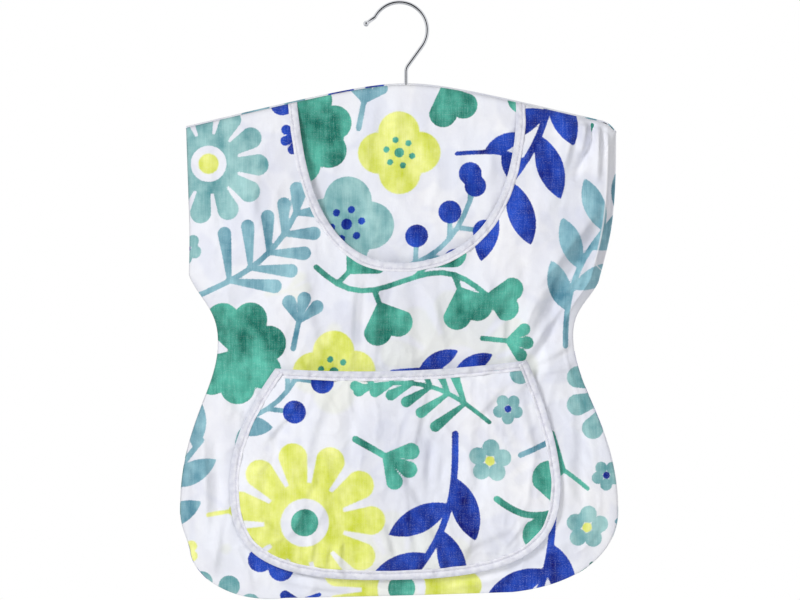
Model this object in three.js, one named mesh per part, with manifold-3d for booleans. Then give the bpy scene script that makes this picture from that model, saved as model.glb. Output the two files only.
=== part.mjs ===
// A hanging peg bag in the shape of a little dress, sewn from printed cotton over a wooden coat
// hanger: a scooped neck to reach in by, a bound patch pocket and a chromed hook that swivels.
// Millimetres, +Z up, and the bag faces -Y. The origin is the inside of the hook's top, where the
// hook hangs on a line; the bag hangs plumb below it.

import * as THREE from "three";
import { mergeVertices } from "three/addons/utils/BufferGeometryUtils.js";
import Module from "manifold-3d";

const wasm = await Module();
wasm.setup();

// Hook
const WIRE_DIAMETER = 3.2;
const HOOK_INSIDE_RADIUS = 20;
const HOOK_TIP_ANGLE = 155;
const HOOK_TURN_ANGLE = -35;
const HOOK_DROP = 63.8;
const SHANK_OFFSET = 4.4;
const SHANK_SHOWING = 9;
const TIP_REACH = 9.8;
const TIP_FLARE_ANGLE = 215;
const TIP_BALL_DIAMETER = 4.6;
const SHANK_BEND_EASE = 4;
const RIVET_DIAMETER = 5.8;
const RIVET_HEIGHT = 2;

// Washer and the room it turns in
const WASHER_DIAMETER = 7.2;
const WASHER_THICKNESS = 1;
const WASHER_POCKET_DEPTH = 7;
const RUNNING_GAP = 0.35;

// Hanger bar
const HANGER_LENGTH = 320;
const HANGER_THICKNESS = 10;
const HANGER_MIDDLE_DEPTH = 34;
const HANGER_END_DEPTH = 22;
const HANGER_ROUNDING = 4.5;
const HANGER_SEAM_GAP = 0.6;
const HANGER_SLACK = 12;
const HOOK_HOLE_EASE = 1;

// Cloth and how closely its layers lie on each other
const CLOTH = 0.5;
const CLOTH_GAP = 0.3;
const BINDING_WIDTH = 8.4;

// Outline of the bag
const SHOULDER_SLOPE = 0.245;
const SHOULDER_ROUNDING = 40;
const SHOULDER_EASE = 6.1;
const SLEEVE_LENGTH = 114;
const SLEEVE_WIDTH = 332;
const WAIST_WIDTH = 284;
const WAIST_DROP = 204;
const SKIRT_WIDTH = 350;
const SKIRT_DROP = 346;
const HEM_STRAIGHT_WIDTH = 180;
const HEM_SAG = 3;
const HEM_TURN_RISE = 5;
const HEM_CORNER = 0.14;
const BAG_HEIGHT = 412;

// How far the bag is filled out
const FRONT_DEPTH = 14;
const FRONT_REACH = 75;
const HEM_ROLL = 1.2;
const LINING_FALL = 150;

// Neck
const NECK_WIDTH = 172;
const NECK_DROP = 143.2;
const NECK_STRAIGHT = 51;
const NECK_BINDING_DROP = 4;

// Pocket
const POCKET_MOUTH_WIDTH = 200;
const POCKET_WIDTH = 264;
const POCKET_HEIGHT = 172;
const POCKET_RAISE = 16;
const POCKET_GAPE = 7;
const POCKET_REACH = 35;

// Sizes that follow from those above
const PLY = CLOTH + CLOTH_GAP;
const SHOULDER_HALF = HANGER_LENGTH / 2 + SHANK_OFFSET + SHOULDER_EASE;
const SEAM_ROLL = HANGER_THICKNESS / 2 + CLOTH_GAP + CLOTH / 2 - PLY / 2;
const HANGER_ROOM = HANGER_MIDDLE_DEPTH + HANGER_SLACK;
const HEM_Z = -HOOK_DROP - BAG_HEIGHT;
const SKIRT_Z = -HOOK_DROP - SKIRT_DROP;
const WAIST_Z = -HOOK_DROP - WAIST_DROP;
const NECK_Z = -HOOK_DROP - NECK_DROP;
const POCKET_Z = HEM_Z + POCKET_RAISE;
const MOUTH_Z = POCKET_Z + POCKET_HEIGHT;
const BORE_RADIUS = WIRE_DIAMETER / 2 + RUNNING_GAP;
const HANGER_LOW_Z = -HOOK_DROP - HANGER_SEAM_GAP - HANGER_MIDDLE_DEPTH;
const WASHER_TOP_Z = HANGER_LOW_Z + WASHER_POCKET_DEPTH - CLOTH_GAP;
const RIVET_Z = WASHER_TOP_Z - WASHER_THICKNESS - CLOTH_GAP;

const { lerp, smoothstep, clamp, degToRad } = THREE.MathUtils;

// Solids from geometry and back

function solidOf(geometry) {
  geometry.deleteAttribute("normal");
  geometry.deleteAttribute("uv");
  const merged = mergeVertices(geometry, 1e-4);
  return new wasm.Manifold(
    new wasm.Mesh({
      numProp: 3,
      vertProperties: new Float32Array(merged.attributes.position.array),
      triVerts: new Uint32Array(merged.index.array),
    }),
  );
}

function geometryOf(solid) {
  const mesh = solid.getMesh();
  const geometry = new THREE.BufferGeometry();
  geometry.setAttribute("position", new THREE.BufferAttribute(mesh.vertProperties, 3));
  geometry.setIndex(new THREE.BufferAttribute(mesh.triVerts, 1));
  const faceted = geometry.toNonIndexed();
  faceted.computeVertexNormals();
  return faceted;
}

// A round solid about the hook's shank, from a profile of radius and height
function turned(profile) {
  const points = profile.map(([radius, z]) => new THREE.Vector2(radius, z));
  const geometry = new THREE.LatheGeometry(points, 20);
  geometry.rotateX(Math.PI / 2);
  geometry.translate(SHANK_OFFSET, 0, 0);
  return solidOf(geometry);
}

function rod(radius, low, high) {
  return turned([
    [0, low],
    [radius, low],
    [radius, high],
    [0, high],
  ]);
}

// A cutter through the whole depth of the bag, from an outline seen from the front
function cutter(points) {
  const depth = 4 * (FRONT_DEPTH + POCKET_GAPE + HANGER_THICKNESS);
  const shape = new THREE.Shape(points);
  const geometry = new THREE.ExtrudeGeometry(shape, { depth, bevelEnabled: false });
  geometry.rotateX(Math.PI / 2);
  geometry.translate(0, depth / 2, 0);
  return solidOf(geometry);
}

// Shoulder line, which the hanger gives to the cloth
function shoulderZ(x) {
  const along = Math.hypot(x - SHANK_OFFSET, SHOULDER_ROUNDING) - SHOULDER_ROUNDING;
  return -HOOK_DROP - SHOULDER_SLOPE * along;
}

// Side of the dress from the widest of the skirt up past the waist and sleeve to the shoulder
function sidePath(side) {
  const shoulder = shoulderZ(side * SHOULDER_HALF);
  const sleeve = shoulder - SLEEVE_LENGTH;
  const [sleeveX, waistX, skirtX] = [SLEEVE_WIDTH, WAIST_WIDTH, SKIRT_WIDTH].map((w) => w / 2);
  const path = new THREE.Path();
  path.moveTo(side * skirtX, SKIRT_Z);
  path.bezierCurveTo(
    side * skirtX,
    lerp(SKIRT_Z, WAIST_Z, 0.55),
    side * waistX,
    lerp(SKIRT_Z, WAIST_Z, 0.77),
    side * waistX,
    WAIST_Z,
  );
  path.bezierCurveTo(
    side * waistX,
    lerp(WAIST_Z, sleeve, 0.5),
    side * lerp(waistX, sleeveX, 0.66),
    lerp(WAIST_Z, sleeve, 0.63),
    side * sleeveX,
    sleeve,
  );
  path.lineTo(side * SHOULDER_HALF, shoulder);
  return path;
}

// Hem from the widest of the skirt on the left round the bottom to the right
function hemPath() {
  const [skirtX, flatX] = [SKIRT_WIDTH / 2, HEM_STRAIGHT_WIDTH / 2];
  const flatZ = HEM_Z + HEM_SAG;
  const roundZ = lerp(SKIRT_Z, HEM_Z, 0.46);
  const turn = lerp(flatX, skirtX, 0.65);
  const path = new THREE.Path();
  path.moveTo(-skirtX, SKIRT_Z);
  path.bezierCurveTo(-skirtX, roundZ, -turn, flatZ + HEM_TURN_RISE, -flatX, flatZ);
  path.quadraticCurveTo(0, HEM_Z - HEM_SAG, flatX, flatZ);
  path.bezierCurveTo(turn, flatZ + HEM_TURN_RISE, skirtX, roundZ, skirtX, SKIRT_Z);
  return path;
}

const skirtHem = hemPath();
const sides = { left: sidePath(-1), right: sidePath(1) };

// The cloth's four edges meet at the shoulder tips and in the middle of the hem's round corners
function hemPoint(u) {
  return skirtHem.getPointAt(lerp(HEM_CORNER, 1 - HEM_CORNER, u));
}

function sidePoint(name, v) {
  const round = HEM_CORNER * skirtHem.getLength();
  const straight = sides[name].getLength();
  const along = v * (round + straight);
  if (along > round) {
    return sides[name].getPointAt(Math.min((along - round) / straight, 1));
  }
  const share = (HEM_CORNER * (round - along)) / round;
  return skirtHem.getPointAt(name === "left" ? share : 1 - share);
}

function shoulderPoint(u) {
  const x = lerp(-SHOULDER_HALF, SHOULDER_HALF, u);
  return new THREE.Vector2(x, shoulderZ(x));
}

// Point of the cloth between its four edges: u across, v up
function clothPoint(u, v) {
  const point = new THREE.Vector2();
  point.addScaledVector(hemPoint(u), 1 - v);
  point.addScaledVector(shoulderPoint(u), v);
  point.addScaledVector(sidePoint("left", v), 1 - u);
  point.addScaledVector(sidePoint("right", v), u);
  point.addScaledVector(hemPoint(0), -(1 - u) * (1 - v));
  point.addScaledVector(hemPoint(1), -u * (1 - v));
  point.addScaledVector(shoulderPoint(0), -(1 - u) * v);
  point.addScaledVector(shoulderPoint(1), -u * v);
  return point;
}

// Distance from a point to a row of points joined by straight lines
function distanceTo(line, point) {
  let least = Infinity;
  const nearest = new THREE.Vector2();
  for (let i = 1; i < line.length; i += 1) {
    const step = line[i].clone().sub(line[i - 1]);
    const along = point.clone().sub(line[i - 1]).dot(step) / Math.max(step.lengthSq(), 1e-9);
    nearest.copy(line[i - 1]).addScaledVector(step, clamp(along, 0, 1));
    least = Math.min(least, nearest.distanceTo(point));
  }
  return least;
}

const SEAM_STEPS = 80;
const shares = Array.from({ length: SEAM_STEPS + 1 }, (_, i) => i / SEAM_STEPS);
const seamLine = [
  ...shares.map((share) => hemPoint(share)),
  ...shares.map((share) => sidePoint("right", share)),
  ...shares.map((share) => shoulderPoint(1 - share)),
  ...shares.map((share) => sidePoint("left", 1 - share)),
];

// Pocket: its sewn edge runs from the mouth's left corner round the bottom to the right one
function pocketEdgePath() {
  const [mouthX, wideX] = [POCKET_MOUTH_WIDTH / 2, POCKET_WIDTH / 2];
  const wideZ = lerp(MOUTH_Z, POCKET_Z, 0.55);
  const highZ = lerp(MOUTH_Z, wideZ, 0.24);
  const lowZ = lerp(MOUTH_Z, wideZ, 0.61);
  const turnX = lerp(mouthX, wideX, 0.47);
  const cornerZ = lerp(wideZ, POCKET_Z, 0.74);
  const path = new THREE.Path();
  path.moveTo(-mouthX, MOUTH_Z);
  path.bezierCurveTo(-turnX, highZ, -wideX, lowZ, -wideX, wideZ);
  path.bezierCurveTo(-wideX, cornerZ, -wideX * 0.76, POCKET_Z, 0, POCKET_Z);
  path.bezierCurveTo(wideX * 0.76, POCKET_Z, wideX, cornerZ, wideX, wideZ);
  path.bezierCurveTo(wideX, lowZ, turnX, highZ, mouthX, MOUTH_Z);
  return path;
}

const pocketEdge = pocketEdgePath().getSpacedPoints(38);

// A line moved sideways, to the left of its own direction
function movedLeft(points, distance) {
  return points.map((point, i) => {
    const before = points[Math.max(i - 1, 0)];
    const after = points[Math.min(i + 1, points.length - 1)];
    const way = after.clone().sub(before).normalize();
    return new THREE.Vector2(point.x - way.y * distance, point.y + way.x * distance);
  });
}

// Everything inside the pocket's sewn edge by a distance, open past the mouth
function insidePocket(distance) {
  const line = movedLeft(pocketEdge, distance);
  const [first, second] = line;
  const [last, previous] = [line.at(-1), line.at(-2)];
  const past = 3 * BINDING_WIDTH;
  const start = first.clone().addScaledVector(first.clone().sub(second).normalize(), past);
  const end = last.clone().addScaledVector(last.clone().sub(previous).normalize(), past);
  return cutter([start, ...line, end]);
}

// Everything below a height
function below(z) {
  const [side, low] = [2 * SKIRT_WIDTH, HEM_Z - BAG_HEIGHT];
  return cutter([
    new THREE.Vector2(-side, low),
    new THREE.Vector2(side, low),
    new THREE.Vector2(side, z),
    new THREE.Vector2(-side, z),
  ]);
}

// Everything inside the neck's edge, grown by a distance and open past the shoulders
function insideNeck(distance) {
  const half = NECK_WIDTH / 2 + distance;
  const low = NECK_Z - distance;
  const straight = -HOOK_DROP - NECK_STRAIGHT;
  const turn = lerp(straight, low, 0.65);
  const path = new THREE.Path();
  path.moveTo(-half, HOOK_DROP);
  path.lineTo(-half, straight);
  path.bezierCurveTo(-half, turn, -half * 0.56, low, 0, low);
  path.bezierCurveTo(half * 0.56, low, half, turn, half, straight);
  path.lineTo(half, HOOK_DROP);
  const points = path.getPoints(9);
  return cutter(points.map((point) => new THREE.Vector2(point.x + SHANK_OFFSET, point.y)));
}

// Everything below the shoulder seam by a distance
function belowShoulder(distance) {
  const line = acrossLines.map((u) => shoulderPoint(1 - u));
  const [right, left] = [line[0], line.at(-1)];
  return cutter([
    new THREE.Vector2(left.x, HEM_Z),
    new THREE.Vector2(right.x, HEM_Z),
    ...line.map((point) => new THREE.Vector2(point.x, point.y - distance)),
  ]);
}

// Grid lines of the cloth as shares of a length: close at the seams, where it rolls over
function gridLines(length, cells) {
  const near = [0.25, 0.65, 1.3, 2.6].map((times) => (times * SEAM_ROLL) / length);
  const edge = near.at(-1);
  const middle = Array.from({ length: cells - 1 }, (_, i) => lerp(edge, 1 - edge, (i + 1) / cells));
  const far = near.map((share) => 1 - share).reverse();
  return [0, ...near, ...middle, ...far, 1];
}

const acrossLines = gridLines(SKIRT_WIDTH, 12);
const upLines = gridLines(BAG_HEIGHT, 16);

// Grid points with their distances from the seam, the shoulder line and the pocket's edge
const grid = upLines.flatMap((v, row) =>
  acrossLines.map((u, column) => {
    const point = clothPoint(u, v);
    const rim = [0, upLines.length - 1].includes(row) || [0, acrossLines.length - 1].includes(column);
    const inPocket = point.y > POCKET_Z && Math.abs(point.x) < POCKET_WIDTH / 2;
    return {
      x: point.x,
      z: point.y,
      seam: rim ? 0 : distanceTo(seamLine, point),
      drop: shoulderZ(point.x) - point.y,
      pocket: inPocket ? distanceTo(pocketEdge, point) : 0,
    };
  }),
);

// Rolls off square from a seam like a quarter circle
function rolled(distance, radius) {
  const share = clamp(distance / radius, 0, 1);
  return Math.sqrt(1 - (1 - share) ** 2);
}

// Fills out from a seam in a soft curve
function filled(distance, reach) {
  return Math.sin((clamp(distance / reach, 0, 1) * Math.PI) / 2);
}

function rollAt(point) {
  return lerp(SEAM_ROLL, HEM_ROLL, smoothstep(point.drop, HANGER_ROOM, 2 * HANGER_ROOM));
}

// Layers of the bag, each as the place of its cloth in front of or behind the seam
function backDepth(point) {
  const roll = rollAt(point);
  const swell = (SEAM_ROLL - roll) * filled(point.seam, FRONT_REACH / 2);
  return roll * rolled(point.seam, SEAM_ROLL) + swell;
}

function outerBackY(point) {
  return PLY / 2 + backDepth(point);
}

function innerBackY(point) {
  const fall = smoothstep(point.drop, HANGER_ROOM, HANGER_ROOM + LINING_FALL);
  return -PLY / 2 + backDepth(point) * lerp(-1, 1, fall);
}

function frontY(point) {
  const roll = rollAt(point);
  const swell = (FRONT_DEPTH - roll) * filled(point.seam, FRONT_REACH);
  return -1.5 * PLY - roll * rolled(point.seam, SEAM_ROLL) - swell;
}

function pocketY(point) {
  return frontY(point) - 2 * PLY - POCKET_GAPE * filled(point.pocket, POCKET_REACH);
}

// A sheet of cloth over the whole outline of the bag
function sheet(placeOf, thickness) {
  const columns = acrossLines.length;
  const rows = upLines.length;
  const count = grid.length;
  const positions = [];
  for (const half of [-thickness / 2, thickness / 2]) {
    for (const point of grid) {
      positions.push(point.x, placeOf(point) + half, point.z);
    }
  }
  const index = [];
  for (let row = 0; row < rows - 1; row += 1) {
    for (let column = 0; column < columns - 1; column += 1) {
      const a = row * columns + column;
      const [b, c, d] = [a + 1, a + columns + 1, a + columns];
      const turnedLeft = column < (columns - 1) / 2;
      const faces = turnedLeft ? [a, b, c, a, c, d] : [a, b, d, b, c, d];
      index.push(...faces);
      index.push(...faces.map((i) => i + count).reverse());
    }
  }
  const rim = [];
  for (let column = 0; column < columns - 1; column += 1) {
    rim.push(column);
  }
  for (let row = 0; row < rows - 1; row += 1) {
    rim.push(row * columns + columns - 1);
  }
  for (let column = columns - 1; column > 0; column -= 1) {
    rim.push((rows - 1) * columns + column);
  }
  for (let row = rows - 1; row > 0; row -= 1) {
    rim.push(row * columns);
  }
  rim.forEach((a, i) => {
    const b = rim[(i + 1) % rim.length];
    index.push(b, a, a + count, b, a + count, b + count);
  });
  const geometry = new THREE.BufferGeometry();
  geometry.setAttribute("position", new THREE.Float32BufferAttribute(positions, 3));
  geometry.setIndex(index);
  return solidOf(geometry);
}

// Tape folded over a raw edge: a leg on each face of the cloth, joined by the fold
function binding(placeOf, band, foldBand) {
  const frontLeg = sheet((point) => placeOf(point) - PLY, CLOTH).intersect(band);
  const backLeg = sheet((point) => placeOf(point) + PLY, CLOTH).intersect(band);
  const fold = sheet(placeOf, 2 * PLY + CLOTH).intersect(foldBand);
  return frontLeg.add(backLeg).add(fold);
}

// Chromed wire hook with a ball on its tip and a riveted head under the washer
function hookSolid() {
  const radius = HOOK_INSIDE_RADIUS + WIRE_DIAMETER / 2;
  const [start, end, flare] = [HOOK_TIP_ANGLE, HOOK_TURN_ANGLE, TIP_FLARE_ANGLE].map(degToRad);
  const middle = -HOOK_INSIDE_RADIUS;
  const from = new THREE.Vector2(radius * Math.cos(start), middle + radius * Math.sin(start));
  const outward = new THREE.Vector2(Math.cos(flare), Math.sin(flare));
  const tip = from.clone().addScaledVector(outward, TIP_REACH);
  const leave = new THREE.Vector2(radius * Math.cos(end), middle + radius * Math.sin(end));
  const down = new THREE.Vector2(Math.sin(end), -Math.cos(end));
  const bendTop = leave.x - SHANK_OFFSET;
  const straight = leave.clone().addScaledVector(down, (0.68 * bendTop) / -down.x);
  const shankTop = -HOOK_DROP + SHANK_SHOWING;
  const bend = lerp(straight.y, shankTop, 0.42);
  const path = new THREE.Path();
  path.moveTo(tip.x, tip.y);
  path.bezierCurveTo(
    tip.x + TIP_REACH * 0.3,
    tip.y + TIP_REACH * 0.16,
    from.x - TIP_REACH * 0.17,
    from.y - TIP_REACH * 0.36,
    from.x,
    from.y,
  );
  path.absarc(0, middle, radius, start, end, true);
  path.lineTo(straight.x, straight.y);
  path.bezierCurveTo(
    straight.x + down.x * SHANK_BEND_EASE,
    straight.y + down.y * SHANK_BEND_EASE,
    SHANK_OFFSET,
    bend,
    SHANK_OFFSET,
    shankTop,
  );
  path.lineTo(SHANK_OFFSET, RIVET_Z - RIVET_HEIGHT / 2);
  class WirePath extends THREE.Curve {
    getPoint(share) {
      const point = path.getPoint(share);
      return new THREE.Vector3(point.x, 0, point.y);
    }
  }
  const round = new THREE.Shape();
  round.absarc(0, 0, WIRE_DIAMETER / 2, 0, 2 * Math.PI);
  const wire = new THREE.ExtrudeGeometry(round, {
    steps: 52,
    curveSegments: 5,
    bevelEnabled: false,
    extrudePath: new WirePath(),
  });
  const ball = new THREE.SphereGeometry(TIP_BALL_DIAMETER / 2, 14, 8);
  ball.translate(tip.x, 0, tip.y);
  const head = turned([
    [0, RIVET_Z - RIVET_HEIGHT],
    [RIVET_DIAMETER * 0.3, RIVET_Z - RIVET_HEIGHT],
    [RIVET_DIAMETER / 2, RIVET_Z - RIVET_HEIGHT / 2],
    [RIVET_DIAMETER / 2, RIVET_Z],
    [0, RIVET_Z],
  ]);
  return solidOf(wire).add(solidOf(ball)).add(head);
}

// Washer that the hook's riveted head pulls up against
function washerSolid() {
  const outer = WASHER_DIAMETER / 2;
  const low = WASHER_TOP_Z - WASHER_THICKNESS;
  return turned([
    [BORE_RADIUS, low],
    [outer, low],
    [outer, WASHER_TOP_Z],
    [BORE_RADIUS, WASHER_TOP_Z],
    [BORE_RADIUS, low],
  ]);
}

// Wooden bar under the shoulder line, with rounded edges and ends, bored for the hook
function hangerSolid() {
  const endRadius = HANGER_END_DEPTH / 2;
  const reach = HANGER_LENGTH / 2 - endRadius;
  const between = acrossLines
    .map((u) => shoulderPoint(u).x - SHANK_OFFSET)
    .filter((along) => Math.abs(along) < reach - endRadius / 2);
  const top = [];
  const underside = [];
  for (const along of [-reach, ...between, reach]) {
    const x = SHANK_OFFSET + along;
    const z = shoulderZ(x) - HANGER_SEAM_GAP;
    const share = smoothstep(Math.abs(along), 0, reach);
    const depth = lerp(HANGER_MIDDLE_DEPTH, HANGER_END_DEPTH, share);
    top.push(new THREE.Vector2(x, z));
    underside.unshift(new THREE.Vector2(x, z - depth));
  }
  const roundEnd = (upper, lower, turn) => {
    const middle = upper.clone().add(lower).divideScalar(2);
    const arm = upper.clone().sub(middle);
    return [1, 2, 3, 4, 5].map((step) =>
      middle.clone().add(arm.clone().rotateAround(new THREE.Vector2(), (turn * step * Math.PI) / 6)),
    );
  };
  const right = roundEnd(top.at(-1), underside[0], -1);
  const left = roundEnd(underside.at(-1), top[0], -1);
  const bar = new THREE.ExtrudeGeometry(new THREE.Shape([...top, ...right, ...underside, ...left]), {
    depth: HANGER_THICKNESS - 2 * HANGER_ROUNDING,
    bevelThickness: HANGER_ROUNDING,
    bevelSize: HANGER_ROUNDING,
    bevelOffset: -HANGER_ROUNDING,
    bevelSegments: 3,
  });
  bar.rotateX(Math.PI / 2);
  bar.translate(0, HANGER_THICKNESS / 2 - HANGER_ROUNDING, 0);
  const underBar = HANGER_LOW_Z - HANGER_ROUNDING;
  const bore = rod(BORE_RADIUS, underBar, -HOOK_DROP);
  const pocketRadius = WASHER_DIAMETER / 2 + RUNNING_GAP;
  const washerPocket = rod(pocketRadius, underBar, HANGER_LOW_Z + WASHER_POCKET_DEPTH);
  return solidOf(bar).subtract(bore).subtract(washerPocket);
}

// Cloth panels and the tape that binds their edges
const hookHoleRadius = WIRE_DIAMETER / 2 + HOOK_HOLE_EASE;
const hookHole = rod(hookHoleRadius, -HOOK_DROP - SEAM_ROLL, -HOOK_DROP + SEAM_ROLL);
const neckHole = insideNeck(PLY);
const boundNeck = belowShoulder(NECK_BINDING_DROP);
const neckBand = insideNeck(BINDING_WIDTH).subtract(insideNeck(0)).intersect(boundNeck);
const neckFold = insideNeck(CLOTH).subtract(insideNeck(0)).intersect(boundNeck);
const pocketAll = insidePocket(0).intersect(below(MOUTH_Z));
const betweenEdges = insidePocket(BINDING_WIDTH + CLOTH_GAP);
const edgeBand = pocketAll.subtract(insidePocket(BINDING_WIDTH));
const edgeFold = pocketAll.subtract(insidePocket(CLOTH));
const mouthBand = pocketAll.intersect(betweenEdges).subtract(below(MOUTH_Z - BINDING_WIDTH));
const mouthFold = pocketAll.intersect(betweenEdges).subtract(below(MOUTH_Z - CLOTH));
const pocketCut = insidePocket(PLY).intersect(below(MOUTH_Z - PLY));

const chrome = { color: "#c3c6cb", roughness: 0.12, metalness: 1 };
const steel = { color: "#a9acb0", roughness: 0.35, metalness: 1 };
const wood = { color: "#c9a36c", roughness: 0.55, metalness: 0 };
const cotton = { color: "#e6e7f0", roughness: 0.9, metalness: 0 };
const tape = { color: "#f3f2f5", roughness: 0.88, metalness: 0 };

const pieces = [
  ["hook", hookSolid(), chrome],
  ["hook_washer", washerSolid(), steel],
  ["hanger_bar", hangerSolid(), wood],
  ["back_outer_panel", sheet(outerBackY, CLOTH).subtract(hookHole), cotton],
  ["back_inner_panel", sheet(innerBackY, CLOTH).subtract(hookHole), cotton],
  ["front_panel", sheet(frontY, CLOTH).subtract(neckHole), cotton],
  ["neck_binding", binding(frontY, neckBand, neckFold), tape],
  ["pocket_panel", sheet(pocketY, CLOTH).intersect(pocketCut), cotton],
  ["pocket_mouth_binding", binding(pocketY, mouthBand, mouthFold), tape],
  ["pocket_edge_binding", binding(pocketY, edgeBand, edgeFold), tape],
];

const pegBag = new THREE.Group();
pegBag.name = "peg_bag";
for (const [name, solid, finish] of pieces) {
  const mesh = new THREE.Mesh(geometryOf(solid), new THREE.MeshStandardMaterial(finish));
  mesh.name = name;
  pegBag.add(mesh);
}

export default pegBag;
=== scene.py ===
import math

import bpy
import numpy as np
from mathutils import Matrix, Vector, noise


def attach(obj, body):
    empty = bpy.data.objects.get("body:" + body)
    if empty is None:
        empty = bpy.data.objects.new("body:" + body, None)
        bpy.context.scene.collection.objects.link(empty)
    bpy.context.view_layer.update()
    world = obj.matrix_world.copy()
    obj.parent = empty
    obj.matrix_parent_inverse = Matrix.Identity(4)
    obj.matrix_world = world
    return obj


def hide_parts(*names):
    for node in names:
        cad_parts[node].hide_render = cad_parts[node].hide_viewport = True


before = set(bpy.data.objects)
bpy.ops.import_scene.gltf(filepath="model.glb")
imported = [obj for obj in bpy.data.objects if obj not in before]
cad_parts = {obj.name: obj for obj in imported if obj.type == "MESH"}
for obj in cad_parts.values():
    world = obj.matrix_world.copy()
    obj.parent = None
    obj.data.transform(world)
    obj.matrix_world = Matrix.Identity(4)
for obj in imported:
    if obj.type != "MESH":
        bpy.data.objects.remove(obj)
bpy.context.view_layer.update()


# Hook
# A length of hard drawn steel wire, bent cold into an open loop with a round knob on its tip, then
# chromed. Its shank goes down through the hanger and is headed under a washer, so that it turns.
MM = 0.001
WIRE_RADIUS = 1.6 * MM
WIRE_SIDES = 24
LOOP_RADIUS = 22.2 * MM
LOOP_MIDDLE = Vector((-0.8 * MM, 0, -20.6 * MM))
LOOP_TIP_ANGLE = math.radians(150)
LOOP_FOOT_ANGLE = math.radians(-36)
LOOP_STEPS, FOOT_STEPS = 56, 14
TIP_BEND_RADIUS = 4 * MM
TIP_BEND_ANGLE = math.radians(23)
TIP_BEND_STEPS = 8
TIP_STRAIGHT = 6.2 * MM
KNOB_RADIUS = 2.4 * MM
KNOB_RINGS = 11
KNOB_END_ANGLE = 0.14
SHANK_X = 4.4 * MM
SHANK_BEND_RADIUS = 9 * MM
SHANK_BEND_STEPS = 12
SHANK_FOOT_Z = -93 * MM
HEAD_RADIUS = 2.9 * MM
HEAD_HEIGHT = 2 * MM
# Each ring of the head: its share of the head's height, and of its radius
HEAD_RINGS = ((0, 1), (0.3, 1), (0.75, 0.8), (1, 0.35))
ANTICLOCKWISE, CLOCKWISE = (0, 1, 0), (0, -1, 0)


def linear(colour):
    """A hex sRGB colour as linear red, green, blue and alpha."""
    shares = [int(colour[i:i + 2], 16) / 255 for i in (1, 3, 5)]
    return [s / 12.92 if s <= 0.04045 else ((s + 0.055) / 1.055) ** 2.4 for s in shares] + [1]


def add_node(tree, kind, inputs=(), **settings):
    """Add a node with its settings, and link or set each input by its socket's name or number.

    A node that is given as an input is linked from the first of its outputs in use.
    """
    node = tree.nodes.new(kind)
    for name, value in settings.items():
        setattr(node, name, value)
    for socket, value in dict(inputs).items():
        if isinstance(socket, str):
            named = [known.name == socket and known.enabled for known in node.inputs]
            socket = named.index(True)
        if isinstance(value, bpy.types.Node):
            value = next(output for output in value.outputs if output.enabled)
        if isinstance(value, bpy.types.NodeSocket):
            tree.links.new(value, node.inputs[socket])
        else:
            node.inputs[socket].default_value = value
    return node


def new_material(name):
    """An empty node material, and the tree to draw it in."""
    material = bpy.data.materials.new(name)
    material.use_nodes = True
    material.node_tree.nodes.clear()
    return material, material.node_tree


def heading(angle):
    """The way that an angle points in, seen from the front."""
    return Vector((math.cos(angle), 0, math.sin(angle)))


def pick(piece, test):
    """Go to edit mode with only those points selected that pass a test."""
    bpy.ops.object.mode_set(mode="EDIT")
    bpy.ops.mesh.select_mode(type="VERT")
    bpy.ops.mesh.select_all(action="DESELECT")
    bpy.ops.object.mode_set(mode="OBJECT")
    for point in piece.data.vertices:
        point.select = bool(test(point))
    bpy.ops.object.mode_set(mode="EDIT")


def draw_out(move):
    """Draw the selected ring out by one more ring."""
    bpy.ops.mesh.extrude_region_move(TRANSFORM_OT_translate={"value": move})


def step_ring(move, grow, middle):
    """Draw the selected ring out by one more ring, wider or narrower."""
    draw_out(move)
    bpy.ops.transform.resize(value=(grow, grow, grow), center_override=middle)


def face_outwards():
    """Turn all faces of the mesh in edit mode outwards, and go back to object mode."""
    bpy.ops.mesh.select_all(action="SELECT")
    bpy.ops.mesh.normals_make_consistent(inside=False)
    bpy.ops.object.mode_set(mode="OBJECT")


bpy.ops.object.select_all(action="DESELECT")
loop_right = LOOP_MIDDLE + heading(0) * LOOP_RADIUS
bpy.ops.mesh.primitive_circle_add(vertices=WIRE_SIDES, radius=WIRE_RADIUS, location=loop_right)
hook = bpy.context.object
hook.name = "hook_wire"
bpy.ops.object.transform_apply(location=True, rotation=True, scale=True)

# Up over the loop to the tip, which turns outwards and ends in the knob
bpy.ops.object.mode_set(mode="EDIT")
bpy.ops.mesh.select_all(action="SELECT")
bpy.ops.mesh.spin(steps=LOOP_STEPS, angle=LOOP_TIP_ANGLE, center=LOOP_MIDDLE, axis=ANTICLOCKWISE)
tip_middle = LOOP_MIDDLE + heading(LOOP_TIP_ANGLE) * (LOOP_RADIUS + TIP_BEND_RADIUS)
bpy.ops.mesh.spin(steps=TIP_BEND_STEPS, angle=TIP_BEND_ANGLE, center=tip_middle, axis=CLOCKWISE)
tip_way = heading(LOOP_TIP_ANGLE + math.pi / 2 - TIP_BEND_ANGLE)
tip_end = tip_middle - heading(LOOP_TIP_ANGLE - TIP_BEND_ANGLE) * TIP_BEND_RADIUS
tip_end = tip_end + tip_way * TIP_STRAIGHT
draw_out(tip_way * TIP_STRAIGHT)
knob_start = math.pi - math.asin(WIRE_RADIUS / KNOB_RADIUS)
knob_middle = tip_end - tip_way * KNOB_RADIUS * math.cos(knob_start)
knob_turns = np.linspace(knob_start, KNOB_END_ANGLE, KNOB_RINGS + 1)
for before, after in zip(knob_turns, knob_turns[1:]):
    forward = tip_way * KNOB_RADIUS * (math.cos(after) - math.cos(before))
    ring_middle = knob_middle + tip_way * KNOB_RADIUS * math.cos(after)
    step_ring(forward, math.sin(after) / math.sin(before), ring_middle)
bpy.ops.mesh.edge_face_add()

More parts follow.
